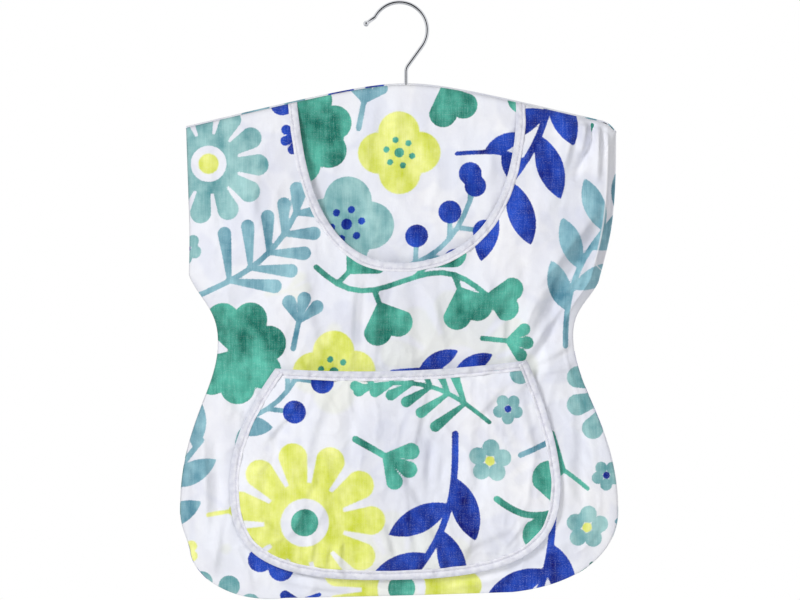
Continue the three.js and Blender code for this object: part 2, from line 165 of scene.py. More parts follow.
# Down the other side, across to the shank's line, and down through the hanger to the riveted head
pick(hook, lambda point: point.co.x > 0 and abs(point.co.z - LOOP_MIDDLE.z) < 1e-6)
bpy.ops.mesh.spin(steps=FOOT_STEPS, angle=-LOOP_FOOT_ANGLE, center=LOOP_MIDDLE, axis=CLOCKWISE)
slant_way = heading(LOOP_FOOT_ANGLE - math.pi / 2)
slant_start = LOOP_MIDDLE + heading(LOOP_FOOT_ANGLE) * LOOP_RADIUS
slant_length = (slant_start.x - SHANK_X) / -slant_way.x
slant_length -= SHANK_BEND_RADIUS * math.tan(-LOOP_FOOT_ANGLE / 2)
draw_out(slant_way * slant_length)
slant_end = slant_start + slant_way * slant_length
shank_middle = slant_end + heading(LOOP_FOOT_ANGLE) * SHANK_BEND_RADIUS
bpy.ops.mesh.spin(steps=SHANK_BEND_STEPS, angle=-LOOP_FOOT_ANGLE, center=shank_middle, axis=ANTICLOCKWISE)
draw_out((0, 0, SHANK_FOOT_Z - shank_middle.z))
ring_z, ring_radius = SHANK_FOOT_Z, WIRE_RADIUS
for depth_share, radius_share in HEAD_RINGS:
    next_z, next_radius = SHANK_FOOT_Z - depth_share * HEAD_HEIGHT, radius_share * HEAD_RADIUS
    step_ring((0, 0, next_z - ring_z), next_radius / ring_radius, (SHANK_X, 0, next_z))
    ring_z, ring_radius = next_z, next_radius
bpy.ops.mesh.edge_face_add()
face_outwards()
bpy.ops.object.shade_smooth_by_angle(angle=math.radians(50))

# Bright chrome on drawn wire: nearly a mirror, with faint dull specks and pits.
chrome, tree = new_material("chrome_on_drawn_wire")
place = add_node(tree, "ShaderNodeTexCoord").outputs["Object"]
specks = add_node(tree, "ShaderNodeTexNoise", {"Vector": place, "Scale": 1 / (2.5 * MM), "Detail": 4})
dulling = add_node(tree, "ShaderNodeMapRange", {
    "Value": specks, "From Min": 0.35, "From Max": 0.75, "To Min": 0.03, "To Max": 0.1})
tint = add_node(tree, "ShaderNodeMix", {
    "Factor": specks, "A": linear("#D9DBDF"), "B": linear("#C9CBD0")}, data_type="RGBA")
pits = add_node(tree, "ShaderNodeBump", {"Height": specks, "Strength": 0.02, "Distance": 0.1 * MM})
skin = add_node(tree, "ShaderNodeBsdfPrincipled", {
    "Base Color": tint, "Metallic": 1.0, "Roughness": dulling, "Normal": pits})
add_node(tree, "ShaderNodeOutputMaterial", {"Surface": skin})
hook.data.materials.append(chrome)
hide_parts("hook")
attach(hook, "hook")


# Hook washer
# A small stamped steel washer in a pocket in the underside of the hanger. The hook's head bears on
# it, so the wood doesn't wear.
# Zinc plated steel: greyer than chrome, with a soft cloudy bloom.
zinc, tree = new_material("zinc_plated_steel")
place = add_node(tree, "ShaderNodeTexCoord").outputs["Object"]
bloom = add_node(tree, "ShaderNodeTexNoise", {"Vector": place, "Scale": 1 / (1.8 * MM), "Detail": 5})
shade = add_node(tree, "ShaderNodeMix", {
    "Factor": bloom, "A": linear("#B9BCC0"), "B": linear("#94989E")}, data_type="RGBA")
dulling = add_node(tree, "ShaderNodeMapRange", {
    "Value": bloom, "From Min": 0.3, "From Max": 0.7, "To Min": 0.28, "To Max": 0.5})
skin = add_node(tree, "ShaderNodeBsdfPrincipled", {
    "Base Color": shade, "Metallic": 1.0, "Roughness": dulling})
add_node(tree, "ShaderNodeOutputMaterial", {"Surface": skin})
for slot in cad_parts["hook_washer"].material_slots:
    slot.material = zinc


# Hanger bar
# A flat bar of beech, cut to a shallow bow and rounded on its edges, as a plain clothes hanger is.
# It lies between the two back layers and carries the bag by its shoulder seam.
# Clear varnished beech: straight pale grain along the bar, with short darker ray flecks.
beech, tree = new_material("varnished_beech")
place = add_node(tree, "ShaderNodeTexCoord").outputs["Object"]
along = add_node(tree, "ShaderNodeMapping", {"Vector": place, "Scale": (0.06, 1, 1)})
grain = add_node(tree, "ShaderNodeTexNoise", {
    "Vector": along, "Scale": 1 / (1.6 * MM), "Detail": 5, "Distortion": 0.4})
wood = add_node(tree, "ShaderNodeMix", {
    "Factor": grain, "A": linear("#DDBF92"), "B": linear("#C29A66")}, data_type="RGBA")
along = add_node(tree, "ShaderNodeMapping", {"Vector": place, "Scale": (0.25, 1, 1)})
flecks = add_node(tree, "ShaderNodeTexNoise", {"Vector": along, "Scale": 1 / (0.7 * MM), "Detail": 1})
flecks = add_node(tree, "ShaderNodeMapRange", {
    "Value": flecks, "From Min": 0.6, "From Max": 0.72, "To Min": 0.0, "To Max": 0.45})
wood = add_node(tree, "ShaderNodeMix", {
    "Factor": flecks, "A": wood, "B": linear("#8F6A42")}, data_type="RGBA")
dulling = add_node(tree, "ShaderNodeMapRange", {
    "Value": grain, "From Min": 0.3, "From Max": 0.7, "To Min": 0.32, "To Max": 0.46})
pores = add_node(tree, "ShaderNodeBump", {"Height": grain, "Strength": 0.2, "Distance": 0.2 * MM})
skin = add_node(tree, "ShaderNodeBsdfPrincipled", {
    "Base Color": wood, "Roughness": dulling, "Normal": pores, "Coat Weight": 0.25, "Coat Roughness": 0.3})
add_node(tree, "ShaderNodeOutputMaterial", {"Surface": skin})
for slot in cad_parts["hanger_bar"].material_slots:
    slot.material = beech


# Outer back panel
# The back of the bag, cut from light printed cotton in the shape of a sleeveless dress. It is sewn to
# the other two layers round its edge, and its top is turned forwards over the hanger.
def mm(*sizes):
    """Sizes in millimetres, as metres."""
    return tuple(size * MM for size in sizes)


CLOTH_THICKNESS = 0.45 * MM
SHOULDER_TOP_Z = -63.8 * MM
SHOULDER_SLOPE = 0.245
SHOULDER_ROUNDING = 40 * MM
SHOULDER_LEFT, SHOULDER_RIGHT = mm(-171.5, 172.5)
CORNER_START, CORNER_DROP = mm(162, 6)
SLEEVE_LEFT, SLEEVE_RIGHT = mm(-167.5, 160.5)
SLEEVE_LENGTH_LEFT, SLEEVE_LENGTH_RIGHT = mm(117, 122)
# Where each sleeve's edge bows to, below and above, on its way up to the shoulder
LEFT_SLEEVE_BOW = mm(-168.8, -175), mm(-170.2, -140)
RIGHT_SLEEVE_BOW = mm(168, -186), mm(172.8, -168)
# How far towards the sleeve the curve under the arm bends, across and up
ARM_BEND_ACROSS, ARM_BEND_UP = 0.62, 0.63
WAIST_HALF, WAIST_Z = mm(142, -267.8)
WAIST_EASE_Z, SKIRT_EASE_Z = mm(-308, -337)
SKIRT_HALF = 175 * MM
SKIRT_LEFT_Z, SKIRT_RIGHT_Z = mm(-402, -409.8)
HEM_HALF, HEM_LEFT_Z, HEM_RIGHT_Z = mm(90, -474, -472.8)
HEM_SAG = 0.4 * MM
# The hem's left corner is blunt: the curve bows to these places above and below one turn
LEFT_TURN = mm(-166.5, -437)
LEFT_TURN_BOW = (-SKIRT_HALF, -416 * MM), mm(-168, -424), mm(-164.5, -448), mm(-142, -479)
RIGHT_TURN_BOW = mm(145.25, -467.8), (SKIRT_HALF, -440.2 * MM)
# The share of the hem at either end that counts as part of the side
HEM_CORNER = 0.14
BAG_ACROSS, BAG_UP, BAG_HEIGHT = mm(350, 430, 412)
# How far the cloth stands off its seam: round the hanger at the top, and flat at the hem
SEAM_ROLL, HEM_ROLL = mm(5.15, 1.2)
HANGER_ROOM, HANGER_END = mm(46, 92)
BACK_REACH = 37.5 * MM
# The bag as it hangs: a lean that grows towards the waist and mostly goes again below it, and a tilt
LEAN, TILT = 4 * MM, 0.02
LEAN_GROWS, LEAN_GOES, LEAN_GONE = mm(170, 270), mm(300, 400), 0.72
BACK_PITCH = 2.0 * MM
SEAM_BAND, SEAM_BAND_ROWS = 10.5 * MM, 10
# The lip at the top that is turned forwards, and the rows of points that round it
TURNED_OVER = 2.4 * MM
LIP_DROPS = mm(1.7, 0.8, 0.4)
LIP_FORWARD, LIP_RISE, LIP_DIP = mm(1.6, 1.9, 0.8)
BACK_GAP, BACK_SLACK, BACK_SLACKENS = 0.3 * MM, 0.9 * MM, mm(4, 30)


def smoothstep(value, low, high):
    """Rises smoothly from 0 at the low value to 1 at the high one."""
    share = np.clip((value - low) / (high - low), 0, 1)
    return share * share * (3 - 2 * share)


def rolled(distance, radius):
    """Rises from 0 at a seam as round as a rolled edge."""
    return np.sqrt(1 - (1 - np.clip(distance / radius, 0, 1)) ** 2)


def filled(distance, reach):
    """Rises from 0 at a seam as softly as cloth that hangs away from it."""
    return np.sin(np.clip(distance / reach, 0, 1) * math.pi / 2)


def bezier(start, first, second, end, steps=36):
    """The points of a curve that leaves its start towards the first place and comes in from the second."""
    t = np.linspace(0, 1, steps + 1)[:, None]
    points = [np.array(point) for point in (start, first, second, end)]
    return sum(k * (1 - t) ** (3 - i) * t ** i * p for i, (k, p) in enumerate(zip((1, 3, 3, 1), points)))


def joined(*lines):
    """Lines that follow each other, as one."""
    return np.concatenate([lines[0]] + [line[1:] for line in lines[1:]])


def runs(line):
    """How far along a line each of its points is."""
    return np.concatenate([[0], np.cumsum(np.hypot(*np.diff(line, axis=0).T))])


def spaced(line, shares):
    """The points at those shares of a line's length."""
    run = runs(line)
    return np.stack([np.interp(np.asarray(shares) * run[-1], run, line[:, k]) for k in (0, 1)], axis=1)


def nearest(line, x, z):
    """The distance from each point to a line, and the place on the line that is nearest."""
    best, best_x, best_z = np.full(x.shape, 9.0), np.zeros(x.shape), np.zeros(x.shape)
    for (ax, az), (bx, bz) in zip(line, line[1:]):
        dx, dz = bx - ax, bz - az
        share = np.clip(((x - ax) * dx + (z - az) * dz) / max(dx * dx + dz * dz, 1e-12), 0, 1)
        near_x, near_z = ax + share * dx, az + share * dz
        reach = np.hypot(x - near_x, z - near_z)
        closer = reach < best
        best[closer], best_x[closer], best_z[closer] = reach[closer], near_x[closer], near_z[closer]
    return best, best_x, best_z


def loft(bottom, top, left, right, across, up):
    """A grid of points stretched between four edge lines, at those shares across and up."""
    low, high = spaced(bottom, across)[None], spaced(top, across)[None]
    near, far = spaced(left, up)[:, None], spaced(right, up)[:, None]
    u, v = np.asarray(across)[None, :, None], np.asarray(up)[:, None, None]
    low_corners = (1 - u) * low[:, :1] + u * low[:, -1:]
    high_corners = (1 - u) * high[:, :1] + u * high[:, -1:]
    corners = (1 - v) * low_corners + v * high_corners
    grid = (1 - v) * low + v * high + (1 - u) * near + u * far - corners
    return grid[..., 0], grid[..., 1]


def edge_shares(length, pitch):
    """Shares of a length at an even pitch, with closer ones in the band along each end."""
    band = np.linspace(0, SEAM_BAND, SEAM_BAND_ROWS + 1)[:-1]
    middle = np.linspace(SEAM_BAND, length - SEAM_BAND, round((length - 2 * SEAM_BAND) / pitch) + 1)
    return np.concatenate([band, middle, length - band[::-1]]) / length


def shoulder_z(x):
    """The shoulder seam's height: a shallow bow, with its right-hand corner rounded off."""
    corner = np.clip((x - CORNER_START) / (SHOULDER_RIGHT - CORNER_START), 0, 1)
    bow = np.hypot(x - SHANK_X, SHOULDER_ROUNDING) - SHOULDER_ROUNDING
    return SHOULDER_TOP_Z - SHOULDER_SLOPE * bow - CORNER_DROP * corner ** 2


def side_line(skirt, waist, sleeve, sleeve_bow, top):
    """A side seam from the hem's corner up to the shoulder."""
    arm_x = (1 - ARM_BEND_ACROSS) * waist[0] + ARM_BEND_ACROSS * sleeve[0]
    arm_z = (1 - ARM_BEND_UP) * waist[1] + ARM_BEND_UP * sleeve[1]
    return joined(
        bezier(skirt, (skirt[0], SKIRT_EASE_Z), (waist[0], WAIST_EASE_Z), waist),
        bezier(waist, (waist[0], (waist[1] + sleeve[1]) / 2), (arm_x, arm_z), sleeve),
        bezier(sleeve, *sleeve_bow, top))


left_top = (SHOULDER_LEFT, shoulder_z(SHOULDER_LEFT))
right_top = (SHOULDER_RIGHT, shoulder_z(SHOULDER_RIGHT))
left_skirt, right_skirt = (-SKIRT_HALF, SKIRT_LEFT_Z), (SKIRT_HALF, SKIRT_RIGHT_Z)
left_side = side_line(
    left_skirt, (-WAIST_HALF, WAIST_Z), (SLEEVE_LEFT, left_top[1] - SLEEVE_LENGTH_LEFT),
    LEFT_SLEEVE_BOW, left_top)
right_side = side_line(
    right_skirt, (WAIST_HALF, WAIST_Z), (SLEEVE_RIGHT, right_top[1] - SLEEVE_LENGTH_RIGHT),
    RIGHT_SLEEVE_BOW, right_top)
hem_left = joined(
    bezier(left_skirt, *LEFT_TURN_BOW[:2], LEFT_TURN, 12),
    bezier(LEFT_TURN, *LEFT_TURN_BOW[2:], (-HEM_HALF, HEM_LEFT_Z), 24))
hem_right = bezier((HEM_HALF, HEM_RIGHT_Z), *RIGHT_TURN_BOW, right_skirt)
hem_across = np.linspace(-1, 1, 25)
hem_rise = (HEM_LEFT_Z + HEM_RIGHT_Z) / 2 + hem_across * (HEM_RIGHT_Z - HEM_LEFT_Z) / 2
hem_middle = np.stack([hem_across * HEM_HALF, hem_rise - HEM_SAG * (1 - hem_across ** 2)], axis=1)
hem_line = joined(hem_left, hem_middle, hem_right)
top_across = np.linspace(SHOULDER_LEFT, SHOULDER_RIGHT, 61)
top_line = np.stack([top_across, shoulder_z(top_across)], axis=1)
bag_outline = joined(left_side[::-1], hem_line, right_side, top_line[::-1])
hem_shares = np.linspace(0, 1, 161)
bag_edges = (
    spaced(hem_line, hem_shares[(hem_shares >= HEM_CORNER) & (hem_shares <= 1 - HEM_CORNER)]),
    top_line,
    joined(spaced(hem_line, np.linspace(HEM_CORNER, 0, 23)), left_side),
    joined(spaced(hem_line, np.linspace(1 - HEM_CORNER, 1, 23)), right_side))


def seam_roll(drop):
    """How far the cloth rolls out at its seam: round the hanger at the top, flat below."""
    return SEAM_ROLL + (HEM_ROLL - SEAM_ROLL) * smoothstep(drop, HANGER_ROOM, HANGER_END)


def back_depth(x, z):
    """How far either back layer stands off the seam, behind it or in front of it."""
    seam, drop = nearest(bag_outline, x, z)[0], shoulder_z(x) - z
    roll = seam_roll(drop)
    return roll * rolled(seam, SEAM_ROLL) + (SEAM_ROLL - roll) * filled(seam, BACK_REACH)


def crinkle(x, z, across, up, seed):
    """Smooth noise from -1 to 1 with lumps of that size."""
    x, z = np.broadcast_arrays(x, z)
    lumps = [noise.noise((a / across, b / up, seed)) for a, b in zip(x.ravel(), z.ravel())]
    return np.array(lumps).reshape(x.shape)


def creases(x, z, across, up, seed):
    """Sharp little ridges of that size, from 0 to 1."""
    return (1 - 2 * np.abs(crinkle(x, z, across, up, seed))) ** 3


def wrinkled(x, z, rows):
    """Wrinkles from rows of a kind, a height, a size across and up, in millimetres, and a seed."""
    return sum(height * MM * kind(x, z, *mm(across, up), seed) for kind, height, across, up, seed in rows)


def ridge(x, z, start, end, width, height, sharp=1.0):
    """A fold along a line in millimetres, raised or, below 0, sunk.

    Its right-hand side, seen up the line, is steeper by sharp.
    """
    ax, az, bx, bz = mm(*start, *end)
    dx, dz = bx - ax, bz - az
    length = math.hypot(dx, dz)
    along = ((x - ax) * dx + (z - az) * dz) / length ** 2
    across = ((x - ax) * dz - (z - az) * dx) / length
    fade = np.sin(math.pi * np.clip(along, 0, 1)) ** 0.7
    wide = np.where(across > 0, width * MM / sharp, width * MM)
    return height * MM * fade * np.exp(-(across / wide) ** 2)


def folded(x, z, rows):
    """Folds from rows of the values that one ridge takes."""
    return sum(ridge(x, z, *row) for row in rows)


def hung(x, y, z):
    """Places in the bag as it hangs."""
    settle = smoothstep(-z, *LEAN_GROWS)
    lean = LEAN * (settle - LEAN_GONE * smoothstep(-z, *LEAN_GOES))
    return np.stack([x - lean, y + 0 * x, z + TILT * x * settle], axis=-1)


def cloth_grid(name, places, flat_x, flat_z):
    """A sheet of cloth through rows of places, whose UV map is the flat cloth in metres."""
    rows, columns = places.shape[:2]
    bpy.ops.object.select_all(action="DESELECT")
    bpy.ops.mesh.primitive_grid_add(x_subdivisions=columns - 1, y_subdivisions=rows - 1, size=1)
    piece = bpy.context.object
    piece.name = name
    mesh = piece.data
    mesh.vertices.foreach_set("co", places.reshape(-1).astype(np.float32))
    corners = np.empty(len(mesh.loops), np.int32)
    mesh.loops.foreach_get("vertex_index", corners)
    flat = np.stack([flat_x.ravel(), flat_z.ravel()], axis=1)[corners]
    mesh.uv_layers[0].name = "cloth"
    mesh.uv_layers[0].uv.foreach_set("vector", flat.reshape(-1).astype(np.float32))
    mesh.update()
    bpy.ops.object.shade_smooth()
    return piece


def turn_over():
    """Turn the faces of the piece in hand to its other side."""
    bpy.ops.object.mode_set(mode="EDIT")
    bpy.ops.mesh.select_all(action="SELECT")
    bpy.ops.mesh.flip_normals()
    bpy.ops.object.mode_set(mode="OBJECT")


def thicken(piece, thickness):
    """Give a sheet its thickness, inwards from the face that shows."""
    bpy.ops.object.select_all(action="DESELECT")
    piece.select_set(True)
    bpy.context.view_layer.objects.active = piece
    wall = piece.modifiers.new("thickness", "SOLIDIFY")
    wall.thickness = thickness
    wall.offset = -1
    wall.use_even_offset = True
    bpy.ops.object.modifier_apply(modifier=wall.name)


# The print: flowers and leaves in five inks, in a half drop repeat. Each motif is drawn as the
# distance in millimetres to its edge, below 0 inside it, and its numbers are shares of its size. All
# motifs take a second ink, which the leaves have no use for.
REPEAT_ACROSS, REPEAT_UP = 336.0, 370.0
INKS = ("blue", "green", "teal", "aqua", "yellow")
FAR_OFF = 9.0
UP = math.pi / 2


def stroke(x, y, start, end, start_radius, end_radius):
    """A round ended stroke that widens from one end to the other."""
    dx, dy = end[0] - start[0], end[1] - start[1]
    share = np.clip(((x - start[0]) * dx + (y - start[1]) * dy) / max(dx * dx + dy * dy, 1e-9), 0, 1)
    reach = np.hypot(x - start[0] - share * dx, y - start[1] - share * dy)
    return reach - start_radius - share * (end_radius - start_radius)


def blade(x, y, base, angle, length, width):
    """A leaf with two points."""
    along = (x - base[0]) * math.cos(angle) + (y - base[1]) * math.sin(angle) - length / 2
    across = (y - base[1]) * math.cos(angle) - (x - base[0]) * math.sin(angle)
    bow = (length ** 2 - width ** 2) / (4 * width)
    return np.hypot(along, np.abs(across) + bow) - bow - width / 2


def out(base, angle, length):
    """The place that far from a base at that angle."""
    return base[0] + length * math.cos(angle), base[1] + length * math.sin(angle)


def heart(x, y, base, angle, size):
    """A heart shaped leaf, of two strokes."""
    halves = [stroke(x, y, base, out(base, angle + turn, 0.62 * size), 0.06 * size, 0.32 * size)
              for turn in (-0.42, 0.42)]
    return np.minimum(*halves)


def disc(x, y, middle, radius):
    return np.hypot(x - middle[0], y - middle[1]) - radius


def ring_of(count, radius, start=0.0):
    """Places at even steps round a ring."""
    return [out((0, 0), start + 2 * math.pi * i / count, radius) for i in range(count)]


def spine(bend, length, steps):
    """The points of a bowed stalk."""
    return [(length * bend * math.sin(math.pi * i / steps), length * i / steps) for i in range(steps + 1)]


def stem(x, y, points, width):
    """A stalk of even width through those points."""
    pairs = zip(points, points[1:])
    return np.minimum.reduce([stroke(x, y, start, end, width / 2, width / 2) for start, end in pairs])


def daisy(x, y, size, ink, eye):
    rays = zip(ring_of(11, 0.2 * size), ring_of(11, 0.41 * size))
    petals = [stroke(x, y, inner, outer, 0.05 * size, 0.09 * size) for inner, outer in rays]
    ring = np.abs(disc(x, y, (0, 0), 0.2 * size)) - 0.05 * size
    return {ink: np.minimum.reduce(petals + [ring]), eye: disc(x, y, (0, 0), 0.085 * size)}


def poppy(x, y, size, ink, eye):
    petals = [disc(x, y, middle, 0.25 * size) for middle in ring_of(4, 0.25 * size, math.pi / 4)]
    seeds = [disc(x, y, middle, 0.04 * size) for middle in ring_of(6, 0.16 * size)]
    seeds.append(disc(x, y, (0, 0), 0.06 * size))
    return {ink: np.minimum.reduce(petals), eye: np.minimum.reduce(seeds)}


def blossom(x, y, size, ink, eye):
    petals = [disc(x, y, middle, 0.2 * size) for middle in ring_of(5, 0.31 * size, UP)]
    return {ink: np.minimum.reduce(petals), eye: disc(x, y, (0, 0), 0.12 * size)}


def fern(x, y, size, ink, eye):
    back = spine(0.14, size, 14)
    parts = [stem(x, y, back, 0.034 * size)]
    for i in range(3, 14, 2):
        length = size * (0.34 - 0.017 * i)
        for side in (-1, 1):
            tip = out(back[i], UP + side * (1.0 - 0.025 * i), length)
            parts.append(stroke(x, y, back[i], tip, 0.014 * size, 0.042 * size))
    tip = out(back[-1], UP + 0.2, 0.06 * size)
    parts.append(stroke(x, y, back[-1], tip, 0.02 * size, 0.04 * size))
    return {ink: np.minimum.reduce(parts)}


def olive(x, y, size, ink, eye):
    back = spine(-0.12, size, 14)
    parts = [stem(x, y, back, 0.036 * size)]
    for i, side in zip((3, 5, 7, 9, 11), (1, -1, 1, -1, 1)):
        parts.append(blade(x, y, back[i], UP + side * 0.72, 0.36 * size, 0.14 * size))
    parts.append(blade(x, y, back[-2], UP + 0.25, 0.32 * size, 0.13 * size))
    return {ink: np.minimum.reduce(parts)}


def clover(x, y, size, ink, eye):
    stalk = spine(0.16, 0.62 * size, 10)
    leaves = [heart(x, y, stalk[-1], UP + turn, 0.5 * size) for turn in (-1.75, 0, 1.75)]
    return {ink: np.minimum.reduce(leaves + [stem(x, y, stalk, 0.06 * size)])}


def berries(x, y, size, ink, eye):
    back = spine(0.18, size, 10)
    parts, fruit = [stem(x, y, back, 0.036 * size)], [disc(x, y, back[-1], 0.08 * size)]
    for i, side in zip((3, 4, 6, 7, 9), (1, -1, 1, -1, 1)):
        tip = out(back[i], UP + side * 0.85, 0.2 * size)
        parts.append(stroke(x, y, back[i], tip, 0.018 * size, 0.018 * size))
        fruit.append(disc(x, y, tip, 0.085 * size))
    parts.append(blade(x, y, back[1], UP - 0.8, 0.34 * size, 0.15 * size))
    return {ink: np.minimum.reduce(parts), eye: np.minimum.reduce(fruit)}


def vine(x, y, size, ink, eye):
    back = [(0.09 * size * math.sin(2 * math.pi * i / 14), size * i / 14) for i in range(15)]
    parts = [stem(x, y, back, 0.03 * size), heart(x, y, back[-1], UP, 0.22 * size)]
    for i, side in zip((2, 5, 8, 11), (1, -1, 1, -1)):
        base = out(back[i], UP + side, 0.09 * size)
        parts.append(stroke(x, y, back[i], base, 0.016 * size, 0.014 * size))
        parts.append(heart(x, y, base, UP + side, 0.25 * size))
    return {ink: np.minimum.reduce(parts)}


def sprig(x, y, size, ink, eye):
    parts = [stroke(x, y, (0, 0), (0, 0.5 * size), 0.05 * size, 0.045 * size)]
    for turn in (-0.75, 0, 0.75):
        tip = out((0, 0.5 * size), UP - turn, 0.36 * size)
        parts.append(stroke(x, y, (0, 0.45 * size), tip, 0.02 * size, 0.12 * size))
    return {ink: np.minimum.reduce(parts)}


# Motif, place across and up in the repeat, turn in degrees, size, ink, second ink
PRINT = (
    (daisy, 210, 332, 99, 128, "yellow", "green"),
    (olive, 302, 331, 157, 150, "blue", None),
    (vine, 211, 207, -100, 140, "green", None),
    (fern, 91, 243, -44, 128, "teal", None),
    (daisy, 55, 301, -165, 96, "aqua", "yellow"),
    (olive, 30, 26, -21, 124, "teal", None),
    (berries, 179, 74, -49, 108, "teal", "blue"),
    (clover, 70, 155, -100, 88, "green", None),
    (poppy, 117, 79, 132, 76, "aqua", "blue"),
    (olive, 251, 122, -106, 96, "blue", None),
    (fern, 309, 54, 73, 104, "green", None),
    (poppy, 159, 136, 46, 66, "yellow", "green"),
    (blossom, 111, 365, -25, 50, "blue", "yellow"),
    (sprig, 276, 13, -121, 56, "green", None),
    (sprig, 131, 178, -11, 46, "teal", None),
    (sprig, 298, 158, -97, 42, "green", None),
    (sprig, 74, 27, -82, 36, "yellow", None),
    (blossom, 22, 193, -150, 34, "aqua", "yellow"),
    (sprig, 128, 323, 108, 34, "blue", None),
    (sprig, 148, 16, 18, 30, "teal", None),
    (blossom, 38, 234, 177, 24, "aqua", "blue"),
    (blossom, 37, 365, 164, 22, "yellow", "blue"),
)
# The place in the repeat, in millimetres, that each panel's origin is cut from
OUTER_BACK_CUT, INNER_BACK_CUT, FRONT_CUT, POCKET_CUT = (258, 324), (160, 255), (208, 59), (285, 4)


def print_at(x, z, cut):
    """Each ink's distance at flat places in metres, for a panel cut from that part of the cloth."""
    across, up = x / MM + cut[0], z / MM + cut[1]
    found = {ink: np.full(x.shape, FAR_OFF) for ink in INKS}
    for motif, middle_x, middle_z, turn, size, ink, eye in PRINT:
        dx, dz = across - middle_x, up - middle_z
        drops = np.round(dx / REPEAT_ACROSS)
        dx = dx - drops * REPEAT_ACROSS
        dz = dz - drops * REPEAT_UP / 2
        dz = dz - np.round(dz / REPEAT_UP) * REPEAT_UP
        cos, sin = math.cos(math.radians(turn)), math.sin(math.radians(turn))
        u, v = dx * cos + dz * sin, dz * cos - dx * sin
        v = v if motif in (daisy, poppy, blossom) else v + size / 2
        for name, distance in motif(u, v, size, ink, eye).items():
            found[name] = np.minimum(found[name], distance)
    return found


def print_cloth(piece, x, z, cut, cut_behind, clear=(), painted_highlight=None):
    """Keep the inks' distances on a piece, and those of the layer behind, which shows through faintly.

    Each row of clear is a place in millimetres, a reach across and up, and a share of painted shade: there
    the cloth is painted greyer, as if it lay in shade. The last argument is the distance to a crease whose
    crest is painted pale, as a painted highlight.
    """
    kept, under = print_at(x, z, cut), print_at(x, z, cut_behind)
    kept["painted_highlight"] = np.full(x.shape, FAR_OFF) if painted_highlight is None else painted_highlight / MM
    kept["cool ghost"] = np.minimum.reduce([under[ink] for ink in ("blue", "green", "teal")])
    kept["yellow ghost"] = under["yellow"]
    # Painted shade: a share of grey at each listed place, falling off with its reach
    kept["clear"] = np.zeros(x.shape)
    for middle_x, middle_z, across, up, share in clear:
        reach = np.hypot((x / MM - middle_x) / across, (z / MM - middle_z) / up)
        kept["clear"] = np.maximum(kept["clear"], share * np.exp(-reach ** 2))
    for name, channels in (("dark_inks", ("blue", "green", "teal")),
                           ("pale_inks_and_highlight", ("aqua", "yellow", "painted_highlight")),
                           ("ghosts_and_painted_shade", ("cool ghost", "yellow ghost", "clear"))):
        values = np.stack([kept[channel].ravel() for channel in channels], axis=1)
        attribute = piece.data.attributes.new(name, "FLOAT_VECTOR", "POINT")
        attribute.data.foreach_set("vector", values.reshape(-1))


# Plain woven cotton, printed and washed: matt, a little see-through, with slubs in the yarn, inks
# that lie unevenly and break along the threads, and fine creases that never press out.
# The real weave of about 0.35 mm a thread is too fine to show, and is drawn at 1 mm.
WEAVE_PITCH = 1.0 * MM
# The scale at which a wave texture repeats once a metre
WAVE_SCALE = math.tau / 20
printed_cotton, tree = new_material("printed_plain_weave_cotton")
flat = add_node(tree, "ShaderNodeUVMap", uv_map="cloth")
distances = []
for name in ("dark_inks", "pale_inks_and_highlight", "ghosts_and_painted_shade"):
    kept = add_node(tree, "ShaderNodeAttribute", attribute_name=name).outputs["Vector"]
    distances += add_node(tree, "ShaderNodeSeparateXYZ", {"Vector": kept}).outputs
blue, green, teal, aqua, yellow, painted_highlight, cool_ghost, yellow_ghost, clear = distances

# The yarn, and how unevenly wash and ink lie on it
yarns = []
for stretch in ((1, 0.06, 1), (0.06, 1, 1)):
    along = add_node(tree, "ShaderNodeMapping", {"Vector": flat, "Scale": stretch})
    yarns.append(add_node(tree, "ShaderNodeTexNoise", {
        "Vector": along, "Scale": 1 / (1.1 * MM), "Detail": 2}))
warp, weft = yarns
slubs = add_node(tree, "ShaderNodeMath", {0: warp, 1: weft}, operation="ADD")
streaks = add_node(tree, "ShaderNodeMapRange", {"Value": warp, "From Min": 0.32, "From Max": 0.68})
tall = add_node(tree, "ShaderNodeMapping", {"Vector": flat, "Scale": (1, 0.5, 1)})
cloud = add_node(tree, "ShaderNodeTexNoise", {"Vector": tall, "Scale": 1 / (20 * MM), "Detail": 2})
cloud = add_node(tree, "ShaderNodeMapRange", {"Value": cloud, "From Min": 0.36, "From Max": 0.66})
wash = add_node(tree, "ShaderNodeTexNoise", {"Vector": flat, "Scale": 1 / (7 * MM), "Detail": 4})
wash = add_node(tree, "ShaderNodeMapRange", {"Value": wash, "From Min": 0.32, "From Max": 0.68})
mottle = add_node(tree, "ShaderNodeMath", {0: wash, 1: 0.4, 2: cloud}, operation="MULTIPLY_ADD")
mottle = add_node(tree, "ShaderNodeMath", {0: streaks, 1: 0.2, 2: mottle}, operation="MULTIPLY_ADD")
mottle = add_node(tree, "ShaderNodeMapRange", {"Value": mottle, "From Min": 0.12, "From Max": 1.46})
cast = add_node(tree, "ShaderNodeTexNoise", {"Vector": flat, "Scale": 1 / (75 * MM), "Detail": 2})
cast = add_node(tree, "ShaderNodeMapRange", {"Value": cast, "From Min": 0.4, "From Max": 0.62})
clean = add_node(tree, "ShaderNodeMix", {
    "Factor": cast, "A": linear("#F5F7FE"), "B": linear("#F7F7FA")}, data_type="RGBA")
smudge = add_node(tree, "ShaderNodeMix", {
    "Factor": cast, "A": linear("#ECEEF8"), "B": linear("#EEEEF5")}, data_type="RGBA")
colour = add_node(tree, "ShaderNodeMix", {"Factor": mottle, "A": clean, "B": smudge}, data_type="RGBA")
